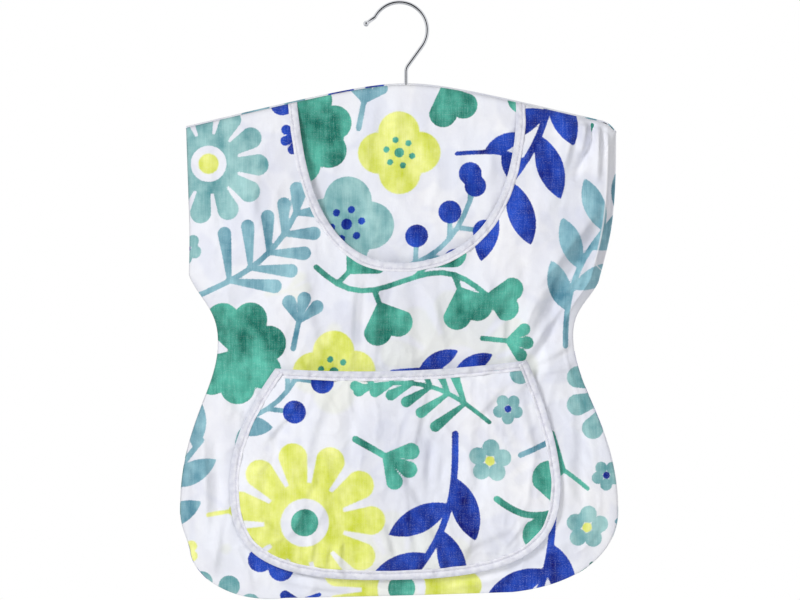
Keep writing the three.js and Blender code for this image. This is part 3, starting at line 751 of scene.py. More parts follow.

# What shows through from the layer behind, and painted shade: grey painted in where the cloth would lie in
# shade
for distance, tint, share in ((yellow_ghost, "#E6EBA8", 0.17), (cool_ghost, "#AAB2D8", 0.13)):
    ghost = add_node(tree, "ShaderNodeMapRange", {
        "Value": distance, "From Min": -2.5, "From Max": 2.5, "To Min": share, "To Max": 0.0},
        interpolation_type="SMOOTHSTEP")
    colour = add_node(tree, "ShaderNodeMix", {
        "Factor": ghost, "A": colour, "B": linear(tint)}, data_type="RGBA")
# Painted shade: the cloth mixed towards grey by the share kept for each place
painted_shade_share = add_node(tree, "ShaderNodeMath", {0: clear, 1: 0.36}, operation="MULTIPLY")
colour = add_node(tree, "ShaderNodeMix", {
    "Factor": painted_shade_share, "A": colour, "B": linear("#C3C7D9")}, data_type="RGBA")

# The inks, each thin and deep, with the blur of its edge in millimetres
wobble = add_node(tree, "ShaderNodeTexNoise", {"Vector": flat, "Scale": 1 / (1.6 * MM), "Detail": 2})
wobble = add_node(tree, "ShaderNodeMapRange", {
    "Value": wobble, "From Min": 0.3, "From Max": 0.7, "To Min": -0.2, "To Max": 0.2})
grain = add_node(tree, "ShaderNodeTexNoise", {"Vector": flat, "Scale": 1 / (0.9 * MM), "Detail": 2})
laid = add_node(tree, "ShaderNodeMath", {0: slubs, 1: 0.4, 2: grain}, operation="MULTIPLY_ADD")
laid = add_node(tree, "ShaderNodeMapRange", {
    "Value": laid, "From Min": 0.62, "From Max": 0.92, "To Min": 0.88, "To Max": 1.0})
for distance, thin, deep, blur in (
        (yellow, "#FBFEA0", "#D0DA3C", 0.8), (aqua, "#AFDBDA", "#609DA3", 0.45),
        (teal, "#9ECDD9", "#4B859B", 0.45), (green, "#65C8B3", "#146C5D", 0.45),
        (blue, "#2A55CC", "#040E72", 0.45)):
    edge = add_node(tree, "ShaderNodeMath", {0: distance, 1: wobble}, operation="ADD")
    mask = add_node(tree, "ShaderNodeMapRange", {
        "Value": edge, "From Min": -blur, "From Max": blur, "To Min": 1.0, "To Max": 0.0},
        interpolation_type="SMOOTHSTEP")
    mask = add_node(tree, "ShaderNodeMath", {0: mask, 1: laid}, operation="MULTIPLY")
    tone = add_node(tree, "ShaderNodeMix", {
        "Factor": mottle, "A": linear(thin), "B": linear(deep)}, data_type="RGBA")
    colour = add_node(tree, "ShaderNodeMix", {"Factor": mask, "A": colour, "B": tone}, data_type="RGBA")
# Painted highlight: a pale line painted along the crest of the right-hand crease
painted_highlight_share = add_node(tree, "ShaderNodeMath", {0: painted_highlight}, operation="ABSOLUTE")
painted_highlight_share = add_node(tree, "ShaderNodeMapRange", {
    "Value": painted_highlight_share, "From Min": 0.3, "From Max": 1.0, "To Min": 0.62, "To Max": 0.0})
colour = add_node(tree, "ShaderNodeMix", {
    "Factor": painted_highlight_share, "A": colour, "B": linear("#FBFBFF")}, data_type="RGBA")

# Creases and weave, raised by bump because they are finer than the mesh
threads = [add_node(tree, "ShaderNodeTexWave", {
    "Vector": flat, "Scale": WAVE_SCALE / WEAVE_PITCH, "Distortion": 0.6, "Detail": 1, "Detail Scale": 1.5},
    bands_direction=way).outputs["Fac"] for way in "XY"]
weave = add_node(tree, "ShaderNodeMath", {0: threads[0], 1: threads[1]}, operation="MULTIPLY")
raised = add_node(tree, "ShaderNodeMath", {0: slubs, 1: 0.6, 2: weave}, operation="MULTIPLY_ADD")
crease = add_node(tree, "ShaderNodeTexNoise", {
    "Vector": flat, "Scale": 1 / (9 * MM), "Detail": 4, "Distortion": 0.8})
creased = add_node(tree, "ShaderNodeBump", {"Height": crease, "Strength": 0.35, "Distance": 1.2 * MM})
woven = add_node(tree, "ShaderNodeBump", {
    "Height": raised, "Strength": 0.12, "Distance": 0.25 * MM, "Normal": creased})
dulling = add_node(tree, "ShaderNodeMapRange", {
    "Value": slubs, "From Min": 0.7, "From Max": 1.3, "To Min": 0.95, "To Max": 0.84})
skin = add_node(tree, "ShaderNodeBsdfPrincipled", {
    "Base Color": colour, "Roughness": dulling, "Normal": woven, "Specular IOR Level": 0.2,
    "Sheen Weight": 0.08, "Sheen Roughness": 0.5})
add_node(tree, "ShaderNodeOutputMaterial", {"Surface": skin})

BACK_WRINKLES = ((crinkle, 2.4, 45, 120, 1.3), (crinkle, 1.2, 18, 60, 2.7),
                 (creases, 1.3, 26, 48, 3.3), (creases, 0.6, 13, 22, 4.1))
BACK_FOLDS = (
    ((-128, -120), (-96, -250), 9, 1.3), ((126, -118), (100, -262), 10, 1.3),
    ((-60, -230), (-84, -440), 14, 1.2), ((40, -200), (64, -440), 16, 1.2),
    ((0, -260), (-6, -450), 12, 0.9), ((-150, -330), (-120, -440), 9, 1.0))
lip_rows = 1 - np.array(LIP_DROPS) / BAG_UP
back_rows = np.sort(np.append(edge_shares(BAG_UP, BACK_PITCH), lip_rows))
x, z = loft(*bag_edges, edge_shares(BAG_ACROSS, BACK_PITCH), back_rows)
seam, drop = nearest(bag_outline, x, z)[0], shoulder_z(x) - z
sag = np.maximum(wrinkled(x, z, BACK_WRINKLES) + folded(x, z, BACK_FOLDS) + BACK_SLACK, 0)
over = np.clip(1 - drop / TURNED_OVER, 0, 1)
y = (BACK_GAP + back_depth(x, z)) * (1 - over ** 2)
y = y + sag * smoothstep(seam, *BACK_SLACKENS) - LIP_FORWARD * over
rim = LIP_RISE * np.sin(math.pi * over) - LIP_DIP * over ** 3
back = cloth_grid("back_outer_cloth", hung(x, y, z + rim), x, z)
print_cloth(back, -x, z, OUTER_BACK_CUT, INNER_BACK_CUT)
turn_over()
thicken(back, CLOTH_THICKNESS)
back.data.materials.append(printed_cotton)
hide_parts("back_outer_panel")
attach(back, "bag")


# Inner back panel
# A second layer of the same cotton in front of the hanger, which hides it from the neck. It is caught
# in the same seams as the outer back and hangs close against it below the hanger.
INNER_PITCH = 2.1 * MM
# How far below the shoulder the lining leaves the hanger's front, and reaches the outer back
LINING_TURNS = HANGER_ROOM + 14 * MM, HANGER_ROOM + 214 * MM
LINING_GAP, LINING_SLACK, LINING_SLACKENS = 0.45 * MM, 0.3 * MM, mm(3, 24)
# How far this layer and the front lie below the lip of the outer back, and how soon that ends
SEAM_STEP, SEAM_STEP_REACH = mm(0.5, 12)
LINING_WRINKLES = ((crinkle, 1.0, 30, 70, 5.1), (crinkle, 0.6, 11, 24, 6.4),
                   (creases, 1.1, 24, 40, 7.9), (creases, 0.5, 12, 20, 8.6))
LINING_FOLDS = (
    ((-62, -84), (-44, -190), 7, 0.9), ((-36, -80), (-22, -150), 6, 0.7),
    ((20, -76), (34, -190), 9, 0.8), ((80, -86), (62, -180), 6, 0.9),
    ((96, -96), (84, -104), 2.2, 1.6), ((-8, -70), (-2, -120), 5, 0.6))


def under_lip(x, z):
    """1 at the shoulder seam, under the lip of the outer back, and 0 a little below it."""
    return 1 - smoothstep(shoulder_z(x) - z, 0, SEAM_STEP_REACH)


x, z = loft(*bag_edges, edge_shares(BAG_ACROSS, INNER_PITCH), edge_shares(BAG_UP, INNER_PITCH))
seam, drop = nearest(bag_outline, x, z)[0], shoulder_z(x) - z
turn = 2 * smoothstep(drop, *LINING_TURNS) - 1
sag = np.maximum(wrinkled(x, z, LINING_WRINKLES) + folded(x, z, LINING_FOLDS) + LINING_SLACK, 0)
low_top = under_lip(x, z)
y = back_depth(x, z) * turn - LINING_GAP - sag * smoothstep(seam, *LINING_SLACKENS) - SEAM_STEP * low_top
lining = cloth_grid("back_inner_cloth", hung(x, y, z - SEAM_STEP * low_top), x, z)
print_cloth(lining, x, z, INNER_BACK_CUT, OUTER_BACK_CUT)
thicken(lining, CLOTH_THICKNESS)
lining.data.materials.append(printed_cotton)
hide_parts("back_inner_panel")
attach(lining, "bag")


# Front panel
# The front layer of the same cotton, with a deep scooped neck to reach in by. It stands a little off
# the back as the empty bag hangs, and is turned back to its right-hand seam along a pressed crease,
# whose crest is painted pale as a highlight.
FRONT_GAP, FRONT_DEPTH, FRONT_REACH = mm(0.9, 14, 75)
FRONT_PITCH = 1.8 * MM
NECK_LEFT_TOP, NECK_RIGHT_TOP = mm(-82.6, 92)
NECK_BOTTOM = mm(3, -206.8)
NECK_LEFT_BOW = mm(-77, -128), mm(-68, -206.8)
NECK_RIGHT_BOW = mm(71, -206.8), mm(94, -138)
RAW_EDGE = 1.0 * MM
# The neck's edge is drawn in, more so further down from the shoulder
NECK_SINK, NECK_SINK_REACH, NECK_SINKS = 6 * MM, 30 * MM, mm(34, 110)
# The crease along the right-hand seam: how far in it lies, how far it stands out and how wide it is,
# and its reach across and down
RIDGE_IN, RIDGE_LOW_IN, RIDGE_HEIGHT, RIDGE_WIDTH = mm(7.4, 14, 1.5, 1.1)
RIDGE_SIDE, RIDGE_STARTS, RIDGE_MOVES, RIDGE_ENDS = mm(118, 136), mm(2, 20), mm(300, 380), mm(425, 455)
RIDGE_LOW_SHARE = 0.4
# How far down the painted highlight on the crease fades out, and how far it is pushed off elsewhere
HIGHLIGHT_ENDS, NO_HIGHLIGHT_DISTANCE = mm(206, 226), 20 * MM
# How sharply the front is turned back: to the right above the waist, and to the left all the way down
TURNED_TOP, TURNED_RIGHT, TURNED_EASES, TURNED_ENDS = 0.75, 0.6, mm(130, 180), mm(212, 268)
TURNED_LEFT, TURNED_LEFT_MORE, LEFT_REACH = 0.42, 0.3, 18 * MM
LEFT_SIDE, LEFT_STARTS, LEFT_GROWS, LEFT_ENDS = mm(112, 140), mm(4, 34), mm(250, 330), mm(415, 455)
SKIRT_FLAT, SKIRT_FLAT_ACROSS, SKIRT_FLAT_DOWN = 0.3, mm(0, 150), mm(270, 340)
# Behind the pocket the folds are pressed flatter
FLATTER_MIDDLE, FLATTER_HALVES, FLATTER_SHARE, FLATTER_EDGE = mm(-3, -376), mm(116, 80), 0.7, 0.25
FRONT_SLACKENS, FOLDS_START = mm(2, 20), mm(1, 9)
FRONT_WRINKLES = ((crinkle, 2.2, 38, 90, 11.2), (crinkle, 1.2, 14, 34, 12.6),
                  (creases, 1.3, 24, 46, 13.9), (creases, 0.7, 13, 20, 14.3))
FRONT_FOLDS = (
    # Tucks in the right shoulder, which is full of the hanger's end
    ((151, -124), (155, -78), 2.2, -5.0, 1.4), ((145, -122), (149, -80), 3.2, 4.6, 2.4),
    ((139, -142), (153, -106), 3.0, -4.6, 1.4), ((161, -124), (162, -88), 2.4, -2.6, 1),
    ((157, -144), (159, -88), 2.4, 4.2, 2.2), ((131, -130), (141, -82), 4, 3.8, 2.4),
    ((118, -168), (136, -108), 8, 3.0, 1.8), ((104, -160), (122, -98), 6, -1.6, 1),
    ((164, -190), (166, -120), 3, -1.6, 1),
    # The hollow above the right-hand waist, and the drag lines beside it
    ((120, -250), (164, -172), 9, -5.0, 1), ((108, -232), (160, -160), 9, 4.6, 2.4),
    ((106, -306), (136, -224), 6, -3.4, 1), ((126, -246), (152, -204), 5, 2.8, 2.0),
    ((94, -290), (128, -210), 8, 3.0, 2.0), ((74, -262), (98, -206), 7, 2.2, 1.8),
    # Puckers that spread from the pocket's right-hand corner
    ((101, -290), (142, -230), 4.5, 3.0, 2.0), ((108, -292), (156, -266), 4.5, 2.8, 2.2),
    ((96, -286), (112, -232), 4.5, 2.4, 2.0), ((112, -298), (156, -290), 4, 2.4, 2.0),
    ((84, -284), (88, -240), 4, 1.8, 1.6),
    # The left sleeve and waist
    ((-122, -240), (-152, -112), 8, -1.8, 1), ((-102, -214), (-128, -124), 8, 2.6, 1.8),
    ((-106, -306), (-142, -240), 8, 3.2, 2.0), ((-90, -298), (-120, -240), 5, -2.4, 1),
    ((-100, -332), (-136, -262), 6, 2.6, 2.0), ((-112, -336), (-138, -300), 4, -2.0, 1),
    # Ripples in the left of the skirt
    ((-152, -426), (-156, -320), 6, 3.6, 2.0), ((-142, -430), (-146, -334), 4.0, -3.0, 1),
    ((-162, -416), (-165, -334), 4, 2.4, 1.8), ((-150, -460), (-138, -388), 6, 3.0, 2.0),
    ((-116, -468), (-130, -428), 5, 2.6, 2.0), ((-134, -470), (-142, -440), 4, -1.8, 1),
    # Crinkles under the neck
    ((-36, -292), (-34, -211), 4.5, 2.2, 2.0), ((-28, -286), (-25, -211), 2.8, -1.6, 1),
    ((-17, -294), (-14, -212), 4.5, 2.2, 2.0), ((-8, -282), (-4, -212), 2.8, -1.5, 1),
    ((22, -290), (12, -212), 7, -2.8, 1), ((40, -286), (26, -212), 7, 2.6, 1.8),
    ((60, -278), (44, -210), 6, -2.4, 1), ((-60, -286), (-78, -206), 8, 2.6, 1.8),
    ((88, -270), (66, -214), 7, 2.4, 1.8),
    # The right of the skirt, and the strip below the pocket
    ((142, -438), (147, -330), 5, -1.8, 1), ((-96, -458), (-36, -470), 4, 1.8, 1.6),
    ((100, -456), (30, -470), 4, 1.9, 1.6), ((-40, -464), (20, -472), 3, -1.4, 1),
    ((-74, -476), (-66, -462), 4, 2.0, 1.8), ((66, -475), (58, -462), 4, 2.0, 1.8))
# Where painted shade greys the front: a place in millimetres, a reach across and up, and a share
FRONT_PAINTED_SHADE = (
    (14, -246, 66, 44, 0.8), (68, -256, 28, 38, 0.7), (143, -198, 28, 50, 1.4),
    (-96, -140, 34, 44, 0.4), (130, -136, 26, 34, 0.4), (-150, -384, 22, 52, 0.4))

neck_line = joined(
    bezier((NECK_LEFT_TOP, shoulder_z(NECK_LEFT_TOP) - SEAM_STEP), *NECK_LEFT_BOW, NECK_BOTTOM),
    bezier(NECK_BOTTOM, *NECK_RIGHT_BOW, (NECK_RIGHT_TOP, shoulder_z(NECK_RIGHT_TOP) - SEAM_STEP)))


def side_crease(x, z):
    """How far inside the right-hand crease each place is, and how much of that crease there is."""
    seam, drop = nearest(bag_outline, x, z)[0], shoulder_z(x) - z
    side = smoothstep(x, *RIDGE_SIDE) * smoothstep(drop, *RIDGE_STARTS)
    side = side * (1 - smoothstep(-z, *RIDGE_ENDS))
    inside = RIDGE_IN + (RIDGE_LOW_IN - RIDGE_IN) * smoothstep(-z, *RIDGE_MOVES)
    return seam - inside, side


def front_base(x, z):
    """The front's surface before its folds."""
    seam, drop = nearest(bag_outline, x, z)[0], shoulder_z(x) - z
    roll = seam_roll(drop)
    line, side = side_crease(x, z)
    right = side * (1 - smoothstep(-z, *TURNED_ENDS))
    sharp = TURNED_TOP + (TURNED_RIGHT - TURNED_TOP) * smoothstep(-z, *TURNED_EASES)
    left = smoothstep(-x, *LEFT_SIDE) * smoothstep(drop, *LEFT_STARTS) * (1 - smoothstep(-z, *LEFT_ENDS))
    left = left * (TURNED_LEFT + TURNED_LEFT_MORE * smoothstep(-z, *LEFT_GROWS))
    swell = filled(seam, FRONT_REACH)
    turned = sharp * right * (np.clip(seam / RIDGE_IN, 0, 1) - swell)
    turned = turned + left * (filled(seam, LEFT_REACH) - swell)
    flat = 1 - SKIRT_FLAT * smoothstep(x, *SKIRT_FLAT_ACROSS) * smoothstep(-z, *SKIRT_FLAT_DOWN)
    depth = roll * rolled(seam, SEAM_ROLL) + (FRONT_DEPTH - roll) * (swell + turned) * flat
    crease = RIDGE_HEIGHT * np.exp(-(line / RIDGE_WIDTH) ** 2)
    crease = crease * (RIDGE_LOW_SHARE * side + (1 - RIDGE_LOW_SHARE) * right)
    neck = nearest(neck_line, x, z)[0] / NECK_SINK_REACH
    sunk = NECK_SINK * np.exp(-neck ** 2) * smoothstep(drop, *NECK_SINKS)
    return -FRONT_GAP - depth - crease + sunk


def front_folds(x, z):
    """How far the folds raise the front at each place."""
    seam = nearest(bag_outline, x, z)[0]
    loose = wrinkled(x, z, FRONT_WRINKLES) * smoothstep(seam, *FRONT_SLACKENS)
    tight = folded(x, z, FRONT_FOLDS) * smoothstep(seam, *FOLDS_START)
    across, up = (x - FLATTER_MIDDLE[0]) / FLATTER_HALVES[0], (z - FLATTER_MIDDLE[1]) / FLATTER_HALVES[1]
    behind = 1 - FLATTER_SHARE * smoothstep(1 - np.hypot(across, up), 0, FLATTER_EDGE)
    return (loose + tight) * behind


def front_y(x, z):
    return front_base(x, z) - front_folds(x, z)


def left_of(line):
    """The way to the left of a line at each of its points."""
    way = np.gradient(line, axis=0)
    way = way / np.hypot(*way.T)[:, None]
    return np.stack([-way[:, 1], way[:, 0]], axis=1)


def moved(line, distance):
    """A line moved to its left by a distance."""
    return line + distance * left_of(line)


def within(outline, x, z):
    found = np.zeros(x.shape, bool)
    for (ax, az), (bx, bz) in zip(outline, np.roll(outline, -1, axis=0)):
        if az != bz:
            found ^= ((az > z) != (bz > z)) & (x < (bx - ax) * (z - az) / (bz - az) + ax)
    return found


# Points in the neck are taken out, and those beside them drawn to the cut edge
neck_cut = moved(neck_line, -RAW_EDGE)
neck_hole = np.concatenate([neck_cut, [(neck_cut[-1, 0], 0), (neck_cut[0, 0], 0)]])
x, z = loft(*bag_edges, edge_shares(BAG_ACROSS, FRONT_PITCH), edge_shares(BAG_UP, FRONT_PITCH))
low_top = under_lip(x, z)
gone = within(neck_hole, x, z)
around = np.pad(gone, 1)
beside = ~gone & (around[:-2, 1:-1] | around[2:, 1:-1] | around[1:-1, :-2] | around[1:-1, 2:])
beside[-1] = False
near_x, near_z = nearest(neck_cut, x, z)[1:]
x, z = np.where(beside, near_x, x), np.where(beside, near_z, z)
front = cloth_grid("front_cloth", hung(x, front_y(x, z), z - SEAM_STEP * low_top), x, z)
crease_in, crease_side = side_crease(x, z)
# The distance to the crease, for the pale line painted along its crest as a highlight
highlight_distance = crease_in + NO_HIGHLIGHT_DISTANCE * (1 - crease_side * (1 - smoothstep(-z, *HIGHLIGHT_ENDS)))
print_cloth(front, x, z, FRONT_CUT, INNER_BACK_CUT, FRONT_PAINTED_SHADE, highlight_distance)
gone = gone.ravel()
pick(front, lambda point: gone[point.index])
bpy.ops.mesh.delete(type="VERT")
bpy.ops.object.mode_set(mode="OBJECT")
thicken(front, CLOTH_THICKNESS)
front.data.materials.append(printed_cotton)
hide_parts("front_panel")
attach(front, "bag")


# Neck binding
# A bias strip of white cotton, its raw edges turned under, folded over the cut edge of the neck and
# sewn through both legs in one row. Cut on the bias, it goes round the curve with small puckers.
TAPE_WIDTH, TAPE_FOLD, TAPE_THICKNESS = mm(7.7, 1.6, 0.4)
TAPE_PITCH = 1.2 * MM
TAPE_WAVE, TAPE_WAVE_LENGTH = 0.08, 14 * MM
# Its ends stay under the shoulder seam, and are drawn down over this length
END_CLEARANCE, END_REACH = mm(0.9, 20)
PUCKER_SLANT, PUCKER_HEIGHT, PUCKER_SINK = 0.8, 1.6 * MM, 0.2 * MM
PUCKER_SIZE, PUCKER_STARTS = mm(5, 14), mm(0.5, 3)
STITCH_IN, STITCH_PITCH, STITCH_LENGTH, STITCH_RISE = mm(2.5, 2.8, 1.7, 0.34)
STITCH_DIP_ALONG, STITCH_DIP_IN, STITCH_TAPER = 0.3 * MM, 0.28 * MM, 0.7
THREAD_RADIUS, THREAD_SIDES = 0.24 * MM, 6
TWIST_PITCH = 0.8 * MM
JOIN_SHARE, JOIN_HEIGHT, JOIN_WIDTH = 0.655, 0.7 * MM, 1.5 * MM
# Across the tape from the edge of its back leg, round the fold, to the edge of its front leg: how far
# from the fold, and how far behind the cloth's surface, in millimetres
TAPE_SECTION = np.array((
    (7.2, 0.6), (5.8, 0.65), (4.0, 0.65), (2.2, 0.65), (0.9, 0.62), (0.3, 0.45), (0.04, 0.15),
    (0.04, -0.15), (0.3, -0.5), (0.9, -0.76), (1.8, -0.92), (2.8, -0.96), (3.8, -0.9), (4.5, -0.74),
    (4.9, -0.5), (5.2, -0.22), (5.5, -0.5), (5.9, -0.7), (6.5, -0.76), (7.1, -0.68), (7.5, -0.5),
    (7.7, -0.15))) * MM


def folded_tape(name, line, side, surface, seed, lift=None):
    """A folded strip along a line. Its legs lie on the left of the line's way for side 1, or right."""
    count = round(runs(line)[-1] / TAPE_PITCH)
    line = spaced(line, np.linspace(0, 1, count + 1))
    run = runs(line)[:, None]
    inward = side * left_of(line)
    wide, deep = TAPE_SECTION.T[:, None]
    wavy = 1 + TAPE_WAVE * crinkle(run, 0 * run, TAPE_WAVE_LENGTH, 1, seed)
    x = line[:, :1] + inward[:, :1] * wide * wavy
    z = line[:, 1:] + inward[:, 1:] * wide * wavy
    above = np.maximum(z - shoulder_z(x) + END_CLEARANCE, 0)
    z = z - above[:1] * (1 - smoothstep(run, 0, END_REACH))
    z = z - above[-1:] * (1 - smoothstep(run[-1] - run, 0, END_REACH))
    slanted = run + PUCKER_SLANT * wide
    pucker = PUCKER_HEIGHT * crinkle(slanted, wide, *PUCKER_SIZE, seed + 3) * smoothstep(wide, *PUCKER_STARTS)
    y = surface(x, z) + deep - np.where(deep < 0, np.maximum(pucker, -PUCKER_SINK), 0)
    if lift is not None:
        y = y - lift(run, run[-1])
    piece = cloth_grid(name, hung(x, y, z), wide + 0 * run, run + 0 * wide)
    if side > 0:
        turn_over()
    thicken(piece, TAPE_THICKNESS)
    piece.data.materials.append(bias_tape)
    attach(piece, "bag")
    return piece


# One lockstitch: a short length of thread whose ends go down into the cloth
bpy.ops.object.select_all(action="DESELECT")
bpy.ops.mesh.primitive_cylinder_add(
    vertices=THREAD_SIDES, radius=THREAD_RADIUS, depth=STITCH_LENGTH, end_fill_type="NOTHING",
    rotation=(0, math.pi / 2, 0))
stitch = bpy.context.object
bpy.ops.object.transform_apply(location=True, rotation=True, scale=True)
for end in (-1, 1):
    pick(stitch, lambda point: point.co.x * end > 0.49 * STITCH_LENGTH)
    dip = Vector((end * STITCH_DIP_ALONG, STITCH_DIP_IN, 0))
    step_ring(dip, STITCH_TAPER, Vector((end * 0.5 * STITCH_LENGTH, 0, 0)) + dip)
    bpy.ops.mesh.edge_face_add()
face_outwards()
stitch_points = np.array([point.co for point in stitch.data.vertices])
stitch_faces = [list(face.vertices) for face in stitch.data.polygons]
bpy.data.objects.remove(stitch)


def sewn_row(name, line, side, surface):
    """A row of stitches beside a tape's free edge, each a copy of the one stitch."""
    row = moved(line, side * (TAPE_WIDTH - STITCH_IN))
    count = round(runs(row)[-1] / STITCH_PITCH)
    row = spaced(row, (np.arange(count) + 0.5) / count)
    x, z = row.T
    places = hung(x, surface(x, z) - STITCH_RISE, z)
    ways = np.gradient(places, axis=0)
    ways = ways / np.linalg.norm(ways, axis=1)[:, None]
    inward = np.array((0, 1, 0)) - ways * ways[:, 1:2]
    inward = inward / np.linalg.norm(inward, axis=1)[:, None]
    turns = np.stack([ways, inward, np.cross(ways, inward)], axis=1)
    points = np.einsum("vk,nkj->nvj", stitch_points, turns) + places[:, None]
    faces = [[i + n * len(stitch_points) for i in face] for n in range(count) for face in stitch_faces]
    mesh = bpy.data.meshes.new(name)
    mesh.from_pydata(points.reshape(-1, 3).tolist(), [], faces)
    piece = bpy.data.objects.new(name, mesh)
    bpy.context.collection.objects.link(piece)
    mesh.shade_smooth()
    mesh.materials.append(thread)
    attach(piece, "bag")


# White cotton bias tape: the same plain weave turned 45 degrees, unprinted and a little greyer, with
# small diagonal drag lines, painted shade in the stitched groove and painted shade along the fold. Its
# weave is drawn coarser, as the cloth's.
bias_tape, tree = new_material("white_cotton_bias_tape")
flat = add_node(tree, "ShaderNodeUVMap", uv_map="cloth")
cloud = add_node(tree, "ShaderNodeTexNoise", {"Vector": flat, "Scale": 1 / (5 * MM), "Detail": 3})
cloud = add_node(tree, "ShaderNodeMapRange", {"Value": cloud, "From Min": 0.36, "From Max": 0.66})
colour = add_node(tree, "ShaderNodeMix", {
    "Factor": cloud, "A": linear("#F2F2F8"), "B": linear("#E1E1EC")}, data_type="RGBA")
across = add_node(tree, "ShaderNodeSeparateXYZ", {"Vector": flat}).outputs["X"]
groove = add_node(tree, "ShaderNodeMath", {0: across, 1: TAPE_WIDTH - STITCH_IN}, operation="SUBTRACT")
groove = add_node(tree, "ShaderNodeMath", {0: groove}, operation="ABSOLUTE")
# Painted shade: the stitched groove painted greyer
painted_groove_shade = add_node(tree, "ShaderNodeMapRange", {
    "Value": groove, "From Min": 0.2 * MM, "From Max": 0.9 * MM, "To Min": 0.28, "To Max": 0.0})
colour = add_node(tree, "ShaderNodeMix", {
    "Factor": painted_groove_shade, "A": colour, "B": linear("#B4B4C8")}, data_type="RGBA")
# Painted shade: the tape painted greyer towards its fold
painted_fold_shade = add_node(tree, "ShaderNodeMapRange", {
    "Value": across, "From Min": 1.0 * MM, "From Max": 4.5 * MM, "To Min": 0.24, "To Max": 0.0})
colour = add_node(tree, "ShaderNodeMix", {
    "Factor": painted_fold_shade, "A": colour, "B": linear("#A6B0C8")}, data_type="RGBA")
slanted = add_node(tree, "ShaderNodeMapping", {"Vector": flat, "Rotation": (0, 0, math.pi / 4)})
drag = add_node(tree, "ShaderNodeMapping", {"Vector": slanted, "Scale": (1, 0.2, 1)})
drag = add_node(tree, "ShaderNodeTexNoise", {"Vector": drag, "Scale": 1 / (1.5 * MM), "Detail": 3})
threads = [add_node(tree, "ShaderNodeTexWave", {
    "Vector": slanted, "Scale": WAVE_SCALE / WEAVE_PITCH, "Distortion": 0.5, "Detail": 1},
    bands_direction=way).outputs["Fac"] for way in "XY"]
weave = add_node(tree, "ShaderNodeMath", {0: threads[0], 1: threads[1]}, operation="MULTIPLY")
dragged = add_node(tree, "ShaderNodeBump", {"Height": drag, "Strength": 0.55, "Distance": 0.7 * MM})
woven = add_node(tree, "ShaderNodeBump", {
    "Height": weave, "Strength": 0.15, "Distance": 0.25 * MM, "Normal": dragged})
dulling = add_node(tree, "ShaderNodeMapRange", {
    "Value": drag, "From Min": 0.3, "From Max": 0.7, "To Min": 0.78, "To Max": 0.92})
skin = add_node(tree, "ShaderNodeBsdfPrincipled", {
    "Base Color": colour, "Roughness": dulling, "Normal": woven, "Specular IOR Level": 0.25,
    "Sheen Weight": 0.06})
add_node(tree, "ShaderNodeOutputMaterial", {"Surface": skin})

# Polyester sewing thread: white, with a slight gloss, and a twist that is drawn at 0.8 mm. The twist's
# grooves are painted greyer, as painted shade.
thread, tree = new_material("white_sewing_thread")
place = add_node(tree, "ShaderNodeTexCoord").outputs["Object"]
twist = add_node(tree, "ShaderNodeTexWave", {
    "Vector": place, "Scale": WAVE_SCALE / TWIST_PITCH, "Distortion": 1.0},
    bands_direction="DIAGONAL").outputs["Fac"]
colour = add_node(tree, "ShaderNodeMix", {
    "Factor": twist, "A": linear("#D6D7E2"), "B": linear("#F2F2F7")}, data_type="RGBA")
dulling = add_node(tree, "ShaderNodeMapRange", {"Value": twist, "To Min": 0.7, "To Max": 0.5})
skin = add_node(tree, "ShaderNodeBsdfPrincipled", {
    "Base Color": colour, "Roughness": dulling, "Specular IOR Level": 0.35})
add_node(tree, "ShaderNodeOutputMaterial", {"Surface": skin})


def joined_ends(run, length):
    """Lift the tape where its two ends are joined, to the right of the neck's lowest point."""
    return JOIN_HEIGHT * np.exp(-((run - JOIN_SHARE * length) / JOIN_WIDTH) ** 2)


neck_tape = folded_tape("neck_tape", neck_line, -1, front_y, 21.5, joined_ends)
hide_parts("neck_binding")
sewn_row("neck_stitching", neck_line, -1, front_y)


# Pocket panel
# A patch of the same cotton, wider below than at its mouth, sewn to the front round its sides and
# bottom. It is cut a little full, so it stands off the front and gapes at the mouth.
MOUTH_LEFT, MOUTH_RIGHT = mm(-95.5, -289), mm(104.5, -286.6)
MOUTH_SAG = 5 * MM
MOUTH_CUT_SHARE = 0.985
POCKET_LEFT, POCKET_RIGHT, POCKET_MIDDLE = mm(-134.9, 129.1, -2.9)
POCKET_SIDE_Z, POCKET_LOW_Z = mm(-384, -459.8)
# Where the pocket's edge bows to between its mouth, its widest and its lowest places
LEFT_EDGE_BOW, RIGHT_EDGE_BOW = mm(-111, -310.5), mm(114, -306)
RIGHT_EASE_X, EDGE_EASE_Z, EDGE_TURN_Z = mm(128, -345.5, -439.7)
LOW_LEFT_X, LOW_RIGHT_X = mm(-103.2, 97.4)
# How far the pocket stands off the front: at its seam, inside it, a little less on its flatter right,
# at its bound edge, and at the two corners of its mouth, each with its reach
SEWN_GAP, EDGE_RISE = mm(1.5, 2.0)
POCKET_GAPE, POCKET_FLATTER, FLATTER_ACROSS = 5.5 * MM, 1.0 * MM, mm(20, 100)
POCKET_REACH, POCKET_FLAT_REACH, REACH_ACROSS = 24 * MM, 70 * MM, mm(10, 90)
PROUD_CORNERS = (MOUTH_RIGHT, *mm(3.2, 16)), (MOUTH_LEFT, *mm(0.8, 14))
